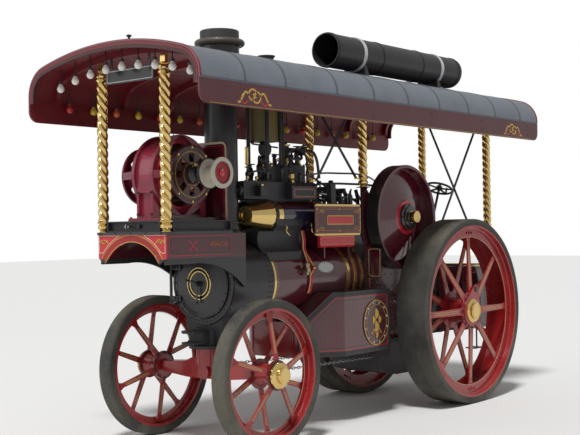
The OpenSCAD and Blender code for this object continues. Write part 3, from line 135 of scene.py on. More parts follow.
class EngineColours(bpy.types.PropertyGroup):
    body: colour("Body", (0.085, 0.009, 0.017), "Gloss maroon of barrel, tank, tender and flywheel")
    wheels: colour("Wheels", (0.3, 0.01, 0.012), "Red of the wheels and the front axle")
    bright: colour("Bright red", (0.5, 0.014, 0.028), "Red of the front plate and the oil boxes")
    yoke: colour("Dynamo", (0.21, 0.014, 0.035), "Dynamo's magnet ring and base")
    boards: colour("Boards", (0.08, 0.017, 0.022), "Outside of the canopy boards")
    inside: colour("Canopy inside", (0.15, 0.008, 0.013), "Boards and ribs under the roof")
    roof: colour("Roof", (0.15, 0.165, 0.195), "Sheet over the roof")
    black: colour("Black", (0.012, 0.012, 0.015), "Smokebox, chimney and castings")
    drums: colour("Drums", (0.022, 0.017, 0.04), "Blue-black cladding of the cylinders")
    brass: colour("Brass", (0.78, 0.56, 0.19), "Polished brass")
    cream: colour("Cream", (0.62, 0.53, 0.33), "Fine lines")
    gold: colour("Gold", (0.58, 0.36, 0.08), "Scrolls and borders")


class EngineSizes(bpy.types.PropertyGroup):
    rivet: length("Rivet head", 0.0085, "Radius of a rivet head", 0.002, 0.03)
    rivet_gap: length("Rivet spacing", 0.052, "Distance between two rivets of a row", 0.01, 0.3)
    strand: length("Strand", 0.0265, "Radius of one strand of a twisted column", 0.005, 0.05)
    pitch: length("Pitch", 0.25, "Height in which a strand makes one turn", 0.1, 1.0)
    bulb: length("Bulb", 0.036, "Radius of a lamp bulb", 0.01, 0.05)
    strands: bpy.props.IntProperty(name="Strands", description="Strands in a twisted column", default=3,
                                   min=2, max=5)


# ---------------------------------------------------------------- shader helpers

def feed(tree, socket, value):
    """Link another node's output to a socket, or give the socket a value of its own."""
    if isinstance(value, bpy.types.NodeSocket):
        tree.links.new(value, socket)
    else:
        socket.default_value = value


def add(tree, kind, inputs=None, **props):
    node = tree.nodes.new(kind)
    for key, value in props.items():
        setattr(node, key, value)
    for key, value in (inputs or {}).items():
        feed(tree, node.inputs[key], value)
    return node


def out_of(tree, kind, inputs=None, output=0, **props):
    """One output of a new node: the first, unless another is named."""
    return add(tree, kind, inputs, **props).outputs[output]


def calc(tree, operation, *values, clamp=False):
    return out_of(tree, "ShaderNodeMath", dict(enumerate(values)), operation=operation, use_clamp=clamp)


def blend_colour(tree, mask, a, b):
    return out_of(tree, "ShaderNodeMix", {0: mask, 6: a, 7: b}, 2, data_type="RGBA")


def remap(tree, value, low, high, to_low=0.0, to_high=1.0):
    return out_of(tree, "ShaderNodeMapRange", {
        "Value": value, "From Min": low, "From Max": high, "To Min": to_low, "To Max": to_high}, "Result")


def new_group(name, inputs, outputs, kind="ShaderNodeTree"):
    tree = bpy.data.node_groups.new(name, kind)
    for label, socket, default in inputs:
        item = tree.interface.new_socket(name=label, in_out="INPUT", socket_type=socket)
        if default is not None:
            item.default_value = default
    for label, socket in outputs:
        tree.interface.new_socket(name=label, in_out="OUTPUT", socket_type=socket)
    return tree, tree.nodes.new("NodeGroupInput").outputs, tree.nodes.new("NodeGroupOutput").inputs


def range_mask_group():
    """1 where Value lies between Low and High."""
    if "Range mask" in bpy.data.node_groups:
        return bpy.data.node_groups["Range mask"]
    f = "NodeSocketFloat"
    tree, i, o = new_group("Range mask", [("Value", f, 0.0), ("Low", f, 0.0), ("High", f, 1.0)],
                           [("Mask", f)])
    low = calc(tree, "GREATER_THAN", i["Value"], i["Low"])
    high = calc(tree, "LESS_THAN", i["Value"], i["High"])
    tree.links.new(calc(tree, "MULTIPLY", low, high), o["Mask"])
    return tree


def axis_distance_group():
    """Distance of a point from an axis, by its two coordinates across that axis."""
    if "Axis distance" in bpy.data.node_groups:
        return bpy.data.node_groups["Axis distance"]
    f = "NodeSocketFloat"
    tree, i, o = new_group("Axis distance", [("A", f, 0.0), ("B", f, 0.0), ("Centre A", f, 0.0),
                                             ("Centre B", f, 0.0)], [("Distance", f)])
    a = calc(tree, "SUBTRACT", i["A"], i["Centre A"])
    b = calc(tree, "SUBTRACT", i["B"], i["Centre B"])
    squares = calc(tree, "ADD", calc(tree, "MULTIPLY", a, a), calc(tree, "MULTIPLY", b, b))
    tree.links.new(calc(tree, "SQRT", squares), o["Distance"])
    return tree


def aged_finish_group():
    """Uneven colour, road dust, rubbed edges, and a fine grain, for paint and metal alike."""
    if "Aged finish" in bpy.data.node_groups:
        return bpy.data.node_groups["Aged finish"]
    f, c = "NodeSocketFloat", "NodeSocketColor"
    tree, i, o = new_group(
        "Aged finish",
        [("Color", c, (0.5, 0.5, 0.5, 1)), ("Roughness", f, 0.3), ("Uneven", f, 0.2), ("Dust", f, 0.3),
         ("Dust Color", c, (0.2, 0.17, 0.12, 1)), ("Edge Wear", f, 0.2),
         ("Edge Color", c, (0.3, 0.3, 0.3, 1)),
         ("Grain Scale", f, 80.0), ("Grain", f, 0.1)],
        [("Color", c), ("Roughness", f), ("Normal", "NodeSocketVector")])
    place = add(tree, "ShaderNodeTexCoord").outputs["Object"]
    broad, fine, grain = (
        add(tree, "ShaderNodeTexNoise", {
            "Vector": place, "Scale": scale, "Detail": detail, "Roughness": rough}).outputs["Fac"]
        for scale, detail, rough in ((2.3, 5.0, 0.6), (38.0, 4.0, 0.65), (i["Grain Scale"], 3.0, 0.5)))
    z = add(tree, "ShaderNodeSeparateXYZ", {"Vector": place}).outputs["Z"]
    normal = add(tree, "ShaderNodeNewGeometry").outputs["Normal"]
    up = add(tree, "ShaderNodeSeparateXYZ", {"Vector": normal}).outputs["Z"]

    tone = calc(tree, "MULTIPLY_ADD", calc(tree, "SUBTRACT", broad, 0.5), i["Uneven"], 1.0)
    tone = calc(tree, "MULTIPLY_ADD", calc(tree, "SUBTRACT", fine, 0.5),
                calc(tree, "MULTIPLY", i["Uneven"], 0.5), tone)
    shade = add(tree, "ShaderNodeVectorMath", {0: i["Color"]}, operation="SCALE")
    tree.links.new(tone, shade.inputs["Scale"])

    # dust lies in patches, low down and on what faces up
    low = remap(tree, z, 0.0, 1.7, 1.0, 0.15)
    ledge = remap(tree, up, 0.3, 0.95, 0.0, 0.9)
    patch = remap(tree, calc(tree, "ADD", broad, calc(tree, "MULTIPLY", fine, 0.35)), 0.52, 0.95)
    dust = calc(tree, "MULTIPLY", patch, calc(tree, "ADD", low, ledge), clamp=True)
    dust = calc(tree, "MULTIPLY", dust, calc(tree, "MULTIPLY", i["Dust"], 0.42), clamp=True)

    # edges are where a bevelled normal leaves the true one
    bevel = add(tree, "ShaderNodeBevel", {"Radius": 0.0035}, samples=4).outputs["Normal"]
    dot = add(tree, "ShaderNodeVectorMath", {0: bevel, 1: normal}, operation="DOT_PRODUCT").outputs["Value"]
    edge = calc(tree, "MULTIPLY", remap(tree, dot, 0.995, 0.9), remap(tree, fine, 0.42, 0.6))
    edge = calc(tree, "MULTIPLY", edge, i["Edge Wear"], clamp=True)

    worn = blend_colour(tree, edge, shade.outputs["Vector"], i["Edge Color"])
    tree.links.new(blend_colour(tree, dust, worn, i["Dust Color"]), o["Color"])
    rough = calc(tree, "MULTIPLY_ADD", calc(tree, "SUBTRACT", fine, 0.5), 0.18, i["Roughness"])
    rough = calc(tree, "MULTIPLY_ADD", dust, 0.55, rough)
    tree.links.new(calc(tree, "MULTIPLY_ADD", edge, 0.15, rough, clamp=True), o["Roughness"])
    bump = add(tree, "ShaderNodeBump", {"Strength": i["Grain"], "Distance": 0.002, "Height": grain,
                                        "Normal": bevel})
    tree.links.new(bump.outputs["Normal"], o["Normal"])
    return tree


def region_mask(tree, xyz, where):
    """Product of simple tests: a coordinate, its size, or the distance from an axis, between two values."""
    mask = None
    for kind, *place, low, high in where:
        if kind in "xyz":
            value = xyz.outputs[kind.upper()]
        elif kind == "side":
            value = calc(tree, "ABSOLUTE", xyz.outputs["X"])
        elif kind == "stripe":
            # 100.5 keeps the sum above zero, with the first stripe in the middle
            axis, width = place
            value = calc(tree, "FRACT", calc(tree, "MULTIPLY_ADD", xyz.outputs[axis.upper()], 1.0 / width,
                                             100.5))
        else:
            a, b = {"about_x": "YZ", "about_y": "XZ", "about_z": "XY"}[kind]
            value = add(tree, "ShaderNodeGroup", {
                "A": xyz.outputs[a], "B": xyz.outputs[b], "Centre A": place[0], "Centre B": place[1]},
                node_tree=axis_distance_group()).outputs["Distance"]
        part = add(tree, "ShaderNodeGroup", {"Value": value, "Low": low, "High": high},
                   node_tree=range_mask_group()).outputs["Mask"]
        mask = part if mask is None else calc(tree, "MULTIPLY", mask, part)
    return mask


def rgba(c):
    return (c[0], c[1], c[2], 1.0)


def tint(colour, k):
    return [v * k for v in colour]


def over(colour, *where, **more):
    """Another colour, and roughness or metal if named, where all the tests hold."""
    return dict(where=where, colour=colour, **more)


def finish(name, base, rough=0.35, metal=0.0, coat=0.0, uneven=0.25, dust=0.3, dust_colour=(0.2, 0.17, 0.12),
           wear=0.15, wear_colour=None, grain=(90.0, 0.08), regions=()):
    """A procedural material. regions paint other colours, roughness or metal over parts of a piece."""
    if name in bpy.data.materials:
        return bpy.data.materials[name]
    mat = bpy.data.materials.new(name)
    mat.use_nodes = True
    mat.diffuse_color = rgba(base)
    tree = mat.node_tree
    shader = next(n for n in tree.nodes if n.type == "BSDF_PRINCIPLED")
    aged = add(tree, "ShaderNodeGroup", node_tree=aged_finish_group())
    xyz = add(tree, "ShaderNodeSeparateXYZ", {"Vector": add(tree, "ShaderNodeTexCoord").outputs["Object"]})
    tone, gloss, shine = rgba(base), rough, metal
    for region in regions:
        mask = region_mask(tree, xyz, region["where"])
        tone = blend_colour(tree, mask, tone, rgba(region["colour"]))
        if "rough" in region:
            gloss = calc(tree, "MULTIPLY_ADD", mask, region["rough"] - rough, gloss)
        if "metal" in region:
            shine = calc(tree, "MULTIPLY_ADD", mask, region["metal"] - metal, shine)
    edge = wear_colour or [min(1.0, v * 2.2 + 0.05) for v in base]
    for key, value in (("Color", tone), ("Roughness", gloss), ("Uneven", uneven), ("Dust", dust),
                       ("Dust Color", rgba(dust_colour)), ("Edge Wear", wear), ("Edge Color", rgba(edge)),
                       ("Grain Scale", grain[0]), ("Grain", grain[1])):
        feed(tree, aged.inputs[key], value)
    for key, value in (("Base Color", aged.outputs["Color"]), ("Roughness", aged.outputs["Roughness"]),
                       ("Normal", aged.outputs["Normal"]), ("Metallic", shine), ("Coat Weight", coat),
                       ("Coat Roughness", 0.06)):
        feed(tree, shader.inputs[key], value)
    return mat


def paint(key, name=None, **changes):
    """One of the engine's finishes, by the name a painter would call it, or one like it with changes."""
    c = bpy.context.scene.engine_colours
    table = {
        "maroon": dict(base=c.body, rough=0.16, coat=0.6, uneven=0.3, dust=0.22),
        "red": dict(base=c.wheels, rough=0.24, coat=0.35, uneven=0.3, dust=0.35),
        RED: dict(base=c.bright, rough=0.24, coat=0.4, dust=0.15),
        BLACK: dict(base=c.black, rough=0.36, coat=0.15, uneven=0.5, dust=0.25),
        IRON: dict(base=tint(c.black, 1.6), rough=0.46, uneven=0.6, dust=0.4, grain=(140.0, 0.35)),
        "brass": dict(base=c.brass, rough=0.14, metal=1.0, uneven=0.22, dust=0.04,
                      dust_colour=(0.28, 0.16, 0.05), wear=0.1, wear_colour=(0.95, 0.78, 0.42),
                      grain=(160.0, 0.05)),
        "copper": dict(base=(0.62, 0.26, 0.12), rough=0.22, metal=1.0, uneven=0.4, dust=0.15),
        "steel": dict(base=(0.42, 0.42, 0.43), rough=0.26, metal=1.0, uneven=0.4, dust=0.2,
                      grain=(220.0, 0.12)),
        "cream": dict(base=c.cream, rough=0.32, dust=0.2, wear=0.0),
        "gold": dict(base=c.gold, rough=0.26, metal=0.5, dust=0.1, wear=0.0),
        "green line": dict(base=(0.012, 0.055, 0.02), rough=0.3, dust=0.2, wear=0.0),
        "tan": dict(base=(0.36, 0.115, 0.03), rough=0.3, dust=0.25, wear=0.0),
        "roof lead": dict(base=(0.075, 0.085, 0.105), rough=0.45, dust=0.5, grain=(60.0, 0.3)),
        "white band": dict(base=(0.55, 0.56, 0.58), rough=0.4, dust=0.3),
        # The tyres' heavy pale dust is partly road dust and partly a painted highlight on the tread
        "rubber": dict(base=(0.034, 0.034, 0.031), rough=0.72, uneven=0.9, dust=2.4,
                       dust_colour=(0.17, 0.155, 0.115), grain=(55.0, 0.6)),
        "coil": dict(base=(0.05, 0.008, 0.008), rough=0.5, dust=0.2, grain=(200.0, 0.5)),
        "dark": dict(base=(0.004, 0.004, 0.005), rough=0.85, dust=0.1),
        "side plate heads": dict(base=tint(c.body, 0.5), rough=0.3, dust=0.3),
        "canopy edge": dict(base=tint(c.inside, 1.4), rough=0.4, dust=0.35,
                            dust_colour=(0.22, 0.16, 0.15)),
        "canopy board": dict(base=c.boards, rough=0.4, coat=0.1, uneven=0.4, dust=0.35,
                             regions=[over(c.inside, ("side", 1.0, 1.1185), rough=0.4)]),
        "oval plates": dict(base=tint(c.body, 0.6), rough=0.2, coat=0.5, dust=0.2),
        "pale plate": dict(base=(0.5, 0.52, 0.5), rough=0.3, metal=0.3, dust=0.2),
        "bulb white": dict(base=(0.78, 0.77, 0.72), rough=0.22, coat=0.5, dust=0.12, wear=0.0, uneven=0.12),
        "bulb red": dict(base=(0.5, 0.02, 0.012), rough=0.2, coat=0.5, dust=0.1, wear=0.0),
        "bulb yellow": dict(base=(0.62, 0.42, 0.03), rough=0.2, coat=0.5, dust=0.1, wear=0.0),
        "bulb orange": dict(base=(0.58, 0.1, 0.015), rough=0.2, coat=0.5, dust=0.1, wear=0.0),
    }
    return finish(name or key, **{**table.get(key, {}), **changes})


# ---------------------------------------------------------------- mesh helpers

class Shape:
    """Collects closed shells, each with a finish, and makes one object of them."""

    def __init__(self):
        self.verts, self.faces, self.slots, self.keys = [], [], [], []

    def put(self, verts, faces, key):
        if key not in self.keys:
            self.keys.append(key)
        start = len(self.verts)
        self.verts += [tuple(v) for v in verts]
        self.faces += [[start + k for k in f] for f in faces]
        self.slots += [self.keys.index(key)] * len(faces)

    def box(self, lo, hi, key):
        v = [(x, y, z) for x in (lo[0], hi[0]) for y in (lo[1], hi[1]) for z in (lo[2], hi[2])]
        self.put(v, [(0, 1, 3, 2), (4, 6, 7, 5), (0, 4, 5, 1), (2, 3, 7, 6), (0, 2, 6, 4), (1, 5, 7, 3)], key)

    def turned(self, profile, centre, axis, key, seg=40):
        """Turns (radius, height) points about an axis; ends on the axis are closed by one point each."""
        z = Vector(axis).normalized()
        x = z.orthogonal().normalized()
        y = z.cross(x)
        c = Vector(centre)
        closed = profile[0] == profile[-1]
        points = profile[:-1] if closed else profile
        verts, rows = [], []
        for r, h in points:
            if r < 1e-6:
                rows.append([len(verts)])
                verts.append(c + z * h)
            else:
                rows.append(list(range(len(verts), len(verts) + seg)))
                verts += [c + z * h + (x * cos(a) + y * sin(a)) * r
                          for a in (2 * pi * k / seg for k in range(seg))]
        faces = []
        pairs = list(zip(rows, rows[1:])) + ([(rows[-1], rows[0])] if closed else [])
        for a, b in pairs:
            for k in range(seg):
                n = (k + 1) % seg
                if len(a) == 1 and len(b) > 1:
                    faces.append((a[0], b[n], b[k]))
                elif len(b) == 1 and len(a) > 1:
                    faces.append((a[k], a[n], b[0]))
                elif len(a) > 1:
                    faces.append((a[k], a[n], b[n], b[k]))
        if not closed:
            for row in (rows[0], rows[-1]):
                if len(row) > 1:
                    faces.append(row)
        self.put(verts, faces, key)

    def spun(self, profile, *rest):
        """turned() with its points in millimetres, for small fittings."""
        self.turned([(r / 1000, h / 1000) for r, h in profile], *rest)

    def ring(self, centre, axis, r0, r1, h0, h1, key, seg=64):
        self.turned([(r0, h0), (r1, h0), (r1, h1), (r0, h1), (r0, h0)], centre, axis, key, seg)

    def tube(self, points, r, key, seg=8, closed=False):
        """Round bar or pipe along points; r may be one radius or one for each point."""
        pts = [Vector(p) for p in points]
        n = len(pts)
        radius = r if isinstance(r, (list, tuple)) else [r] * n
        verts, side = [], None
        for k, p in enumerate(pts):
            ahead = pts[(k + 1) % n] if closed or k < n - 1 else p
            back = pts[k - 1] if closed or k > 0 else p
            t = (ahead - back).normalized()
            side = t.orthogonal() if side is None else side - t * side.dot(t)
            side.normalize()
            other = t.cross(side)
            verts += [p + (side * cos(a) + other * sin(a)) * radius[k]
                      for a in (2 * pi * j / seg for j in range(seg))]
        faces = []
        for k in range(n if closed else n - 1):
            for j in range(seg):
                a, b = k * seg, (k + 1) % n * seg
                faces.append((a + j, a + (j + 1) % seg, b + (j + 1) % seg, b + j))
        if not closed:
            faces += [list(range(seg))[::-1], list(range((n - 1) * seg, n * seg))]
        self.put(verts, faces, key)

    def pipe(self, points, steps, *rest):
        """Tube on a smooth curve through points."""
        self.tube(smooth_path(points, steps), *rest)

    def line(self, points, normal, width, key, lift=0.0015, closed=False, sink=0.001):
        """Flat strip along points that lie on a surface, with mitred corners."""
        pts = [Vector(p) for p in points]
        n = len(pts)
        verts = []
        for k, p in enumerate(pts):
            up = Vector(normal[k] if isinstance(normal, list) else normal).normalized()
            ahead = (pts[(k + 1) % n] - p) if closed or k < n - 1 else (p - pts[k - 1])
            back = (p - pts[k - 1]) if closed or k > 0 else ahead
            a, b = ahead.normalized(), back.normalized()
            side = up.cross((a + b).normalized() if (a + b).length > 1e-6 else a).normalized()
            w = width / 2 / max(0.35, side.dot(up.cross(a)))
            verts += [p + side * w + up * lift, p - side * w + up * lift, p - side * w - up * sink,
                      p + side * w - up * sink]
        faces = []
        for k in range(n if closed else n - 1):
            a, b = 4 * k, 4 * ((k + 1) % n)
            faces += [(a + j, b + j, b + (j + 1) % 4, a + (j + 1) % 4) for j in range(4)]
        if not closed:
            faces += [(0, 1, 2, 3), (4 * n - 1, 4 * n - 2, 4 * n - 3, 4 * n - 4)]
        self.put(verts, faces, key)

    def plate(self, outline, normal, thick, key):
        """Flat plate on a closed outline, standing out by its thickness."""
        up = Vector(normal).normalized() * thick
        pts = [Vector(p) for p in outline]
        n = len(pts)
        faces = [list(range(n)), list(range(2 * n - 1, n - 1, -1))]
        faces += [(k, (k + 1) % n, n + (k + 1) % n, n + k) for k in range(n)]
        self.put([p + up for p in pts] + pts, faces, key)

    def build(self, name, body="engine", mirror=False):
        """One object of the shells, smooth but for edges of over 38 degrees, riding on a body."""
        mesh = bpy.data.meshes.new(name)
        mesh.from_pydata(self.verts, [], self.faces)
        for key in self.keys:
            mesh.materials.append(paint(key))
        for poly, slot in zip(mesh.polygons, self.slots):
            poly.material_index = slot
        work = bmesh.new()
        work.from_mesh(mesh)
        if mirror:
            bmesh.ops.scale(work, vec=(-1, 1, 1), verts=work.verts)
        bmesh.ops.remove_doubles(work, verts=work.verts, dist=1e-6)
        bmesh.ops.recalc_face_normals(work, faces=work.faces)
        for f in work.faces:
            f.smooth = True
        for e in work.edges:
            e.smooth = len(e.link_faces) == 2 and e.calc_face_angle(0) < radians(38)
        work.to_mesh(mesh)
        work.free()
        obj = bpy.data.objects.new(name, mesh)
        bpy.context.scene.collection.objects.link(obj)
        if body:
            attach(obj, body)
        return obj


def arc(centre, u, v, r, a0, a1, n):
    """Points on an arc in the plane of u and v, angles in degrees."""
    c, u, v = Vector(centre), Vector(u), Vector(v)
    return [c + (u * cos(radians(a)) + v * sin(radians(a))) * r
            for a in (a0 + (a1 - a0) * k / (n - 1) for k in range(n))]


def inset(outline, d):
    """Flat outline moved inwards by d, for outlines that run anticlockwise."""
    n = len(outline)
    out = []
    for k in range(n):
        p, a, b = (Vector(outline[j % n]) for j in (k, k - 1, k + 1))
        e0, e1 = (p - a).normalized(), (b - p).normalized()
        n0, n1 = Vector((-e0.y, e0.x)), Vector((-e1.y, e1.x))
        m = (n0 + n1).normalized()
        out.append(p + m * (d / max(0.3, m.dot(n0))))
    return out


def rounded(outline, r, n=5):
    """Outline with its corners rounded."""
    out = []
    count = len(outline)
    for k in range(count):
        p, a, b = (Vector(outline[j % count]) for j in (k, k - 1, k + 1))
        e0, e1 = (a - p).normalized(), (b - p).normalized()
        half = max(0.2, e0.angle(e1) / 2)
        t = min(r / abs(sin(half) / cos(half)) if half < pi / 2 - 0.01 else 0.0,
                0.45 * (a - p).length, 0.45 * (b - p).length)
        p0, p1 = p + e0 * t, p + e1 * t
        for j in range(n + 1):
            s = j / n
            out.append(p0 * (1 - s) ** 2 + p * 2 * s * (1 - s) + p1 * s ** 2)
    return out


def oblong(x0, y0, x1, y1):
    return [(x0, y0), (x1, y0), (x1, y1), (x0, y1)]


def on_side(x):
    """Face across the engine at x: how it places flat points, and its outward direction."""
    return (lambda p: Vector((x, p[0], p[1]))), (LEFT if x > 0 else RIGHT)


def across(y, out=FRONT):
    """Face along the engine at y, as on_side gives one."""
    return (lambda p: Vector((p[0], y, p[1]))), out


def lining(shape, outline, face, *steps):
    """Painted lines inside an outline: steps are (distance from the edge, corner radius, width, finish)."""
    place, normal = face
    for d, r, width, key in steps:
        edge = inset(outline, d)
        shape.line([place(p) for p in (rounded(edge, r) if r else edge)], normal, width, key, closed=True)


def fastener_tree(along):
    """Puts a part at every point of a mesh, or at even steps along its edges, facing the way "out" says."""
    name = "Fasteners along a row" if along else "Fasteners at points"
    if name in bpy.data.node_groups:
        return bpy.data.node_groups[name]
    f = "NodeSocketFloat"
    tree, i, o = new_group(
        name, [("Geometry", GEOMETRY, None), ("Part", "NodeSocketObject", None), ("Spacing", f, 0.05),
               ("Radius", f, 0.01), ("Height", f, 0.006), ("Finish", "NodeSocketMaterial", None)],
        [("Geometry", GEOMETRY)], "GeometryNodeTree")
    points = i["Geometry"]
    if along:
        curve = out_of(tree, "GeometryNodeMeshToCurve", {"Mesh": points})
        points = out_of(tree, "GeometryNodeResampleCurve", {"Curve": curve, "Length": i["Spacing"]},
                        mode="LENGTH")
    way = out_of(tree, "GeometryNodeInputNamedAttribute", {"Name": "out"}, data_type="FLOAT_VECTOR")
    put = out_of(tree, "GeometryNodeInstanceOnPoints", {
        "Points": points,
        "Instance": add(tree, "GeometryNodeObjectInfo", {"Object": i["Part"]}).outputs["Geometry"],
        "Rotation": out_of(tree, "FunctionNodeAlignRotationToVector", {"Vector": way}, axis="Z"),
        "Scale": out_of(tree, "ShaderNodeCombineXYZ", {
            "X": i["Radius"], "Y": i["Radius"], "Z": i["Height"]})})
    real = out_of(tree, "GeometryNodeRealizeInstances", {"Geometry": put})
    feed(tree, o["Geometry"], out_of(tree, "GeometryNodeSetMaterial", {
        "Geometry": real, "Material": i["Finish"]}))
    return tree


UNIT_PARTS = {  # sides and (radius, height) points of each small part
    "rivet": (8, [(1, -0.3), (1, 0), (0.86, 0.5), (0.5, 0.87), (0, 1)]),
    "nut": (6, [(1, -0.3), (1, 0.62), (0.6, 0.64), (0.56, 0.95), (0, 1)]),
    "stud": (10, [(1.0, -0.2), (1.0, 0.3), (0.7, 0.75), (0.35, 0.95), (0, 1)]),
    "bulb": (12, [(0, -1.62), (0.42, -1.55), (0.8, -1.25), (1.0, -0.7), (0.92, -0.2), (0.62, 0.28),
                  (0.46, 0.6), (0.44, 0.78), (0, 0.78)]),
    "holder": (10, [(0, 0.62), (0.54, 0.62), (0.58, 0.7), (0.58, 1.16), (0.45, 1.27), (0, 1.27)]),
}


def grow(name, points, edges, tree, settings, outs=()):
    """Object on points, with what a Geometry Nodes tree makes of them as its mesh."""
    mesh = bpy.data.meshes.new(name + "_path")
    mesh.from_pydata(points, edges, [])
    if outs:
        attribute = mesh.attributes.new("out", "FLOAT_VECTOR", "POINT")
        for k, q in enumerate(outs):
            attribute.data[k].vector = q
    obj = bpy.data.objects.new(name, mesh)
    bpy.context.scene.collection.objects.link(obj)
    names = {s.name: s.identifier for s in tree.interface.items_tree if s.in_out == "INPUT"}
    mod = obj.modifiers.new("Repeats", "NODES")
    mod.node_group = tree
    for label, value in settings.items():
        mod[names[label]] = value
    bpy.context.view_layer.update()
    result = bpy.data.meshes.new_from_object(obj.evaluated_get(bpy.context.evaluated_depsgraph_get()))
    obj.modifiers.clear()
    obj.data = result
    return obj


def repeat(name, kind, rows, radius, height, key, body="engine", spacing=None):
    """Rows of like parts by Geometry Nodes. rows hold (points, outward direction or one for each point)."""
    verts, edges, outs = [], [], []
    for points, out in rows:
        start = len(verts)
        verts += [tuple(p) for p in points]
        outs += [tuple(q) for q in out] if isinstance(out, list) else [tuple(out)] * len(points)
        edges += [(k, k + 1) for k in range(start, len(verts) - 1)] if spacing else []
    seg, profile = UNIT_PARTS[kind]
    unit = Shape()
    unit.turned(profile, (0, 0, 0), UP, IRON, seg)
    part = unit.build("unit_" + kind, None)
    path = grow(name, verts, edges, fastener_tree(bool(spacing)), {
        "Part": part, "Spacing": spacing or 0.05, "Radius": radius, "Height": height,
        "Finish": paint(key)}, outs)
    for poly in path.data.polygons:
        poly.use_smooth = kind != "nut"
    bpy.data.objects.remove(part)
    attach(path, body)
    return path


def ring_points(centre, u, v, r, n, start=0.0):
    return [Vector(centre) + (Vector(u) * cos(a) + Vector(v) * sin(a)) * r
            for a in (radians(start) + 2 * pi * k / n for k in range(n))]


def each(points, out):
    """Rows for repeat() with one part each, all facing one way."""
    return [([p], out) for p in points]


def smooth_path(points, n):
    """Catmull-Rom curve through points, n steps to a span."""
    p = [Vector(q) for q in points]
    p = [p[0] * 2 - p[1]] + p + [p[-1] * 2 - p[-2]]
    out = []
    for k in range(1, len(p) - 2):
        for j in range(n):
            t = j / n
            out.append(0.5 * ((2 * p[k]) + (p[k + 1] - p[k - 1]) * t
                              + (2 * p[k - 1] - 5 * p[k] + 4 * p[k + 1] - p[k + 2]) * t * t
                              + (3 * p[k] - p[k - 1] - 3 * p[k + 1] + p[k + 2]) * t ** 3))
    return out + [p[-2]]


def scroll(shape, face, at, size, key, width, flip=1):
    """Generic S-shaped scroll with two leaves, drawn on a face round the place at."""
    place, normal = face

    def spot(a, b):
        return place((at[0] + flip * a * size, at[1] + b * size))

    for x, start in ((0.16, 200), (-0.16, 20)):
        curl = []
        for t in (k / 18 for k in range(19)):
            a, r = radians(start) + t * 1.1 * 2 * pi, 0.34 * (1 - 0.72 * t)
            curl.append(spot(x + r * cos(a), r * sin(a)))
        shape.line(curl, normal, width * 1.5, key)
    for s in (-1, 1):
        wave = [spot(s * (0.38 + 0.75 * t), 0.2 * sin(t * 5.4) - 0.16 * t)
                for t in (k / 10 for k in range(11))]
        shape.line(wave, normal, width * 1.7, key)
        leaf = [spot(s * (0.45 + 0.5 * t), -0.22 - 0.16 * sin(t * 3.1)) for t in (k / 7 for k in range(8))]
        shape.line(leaf, normal, width, RED)


# ---------------------------------------------------------------- operators

class EngineStep:
    """What the operators share: they are listed in the sidebar and can be undone."""
    bl_options = {"REGISTER", "UNDO"}

    def execute(self, context):
        self.make(context.scene)
        return {"FINISHED"}


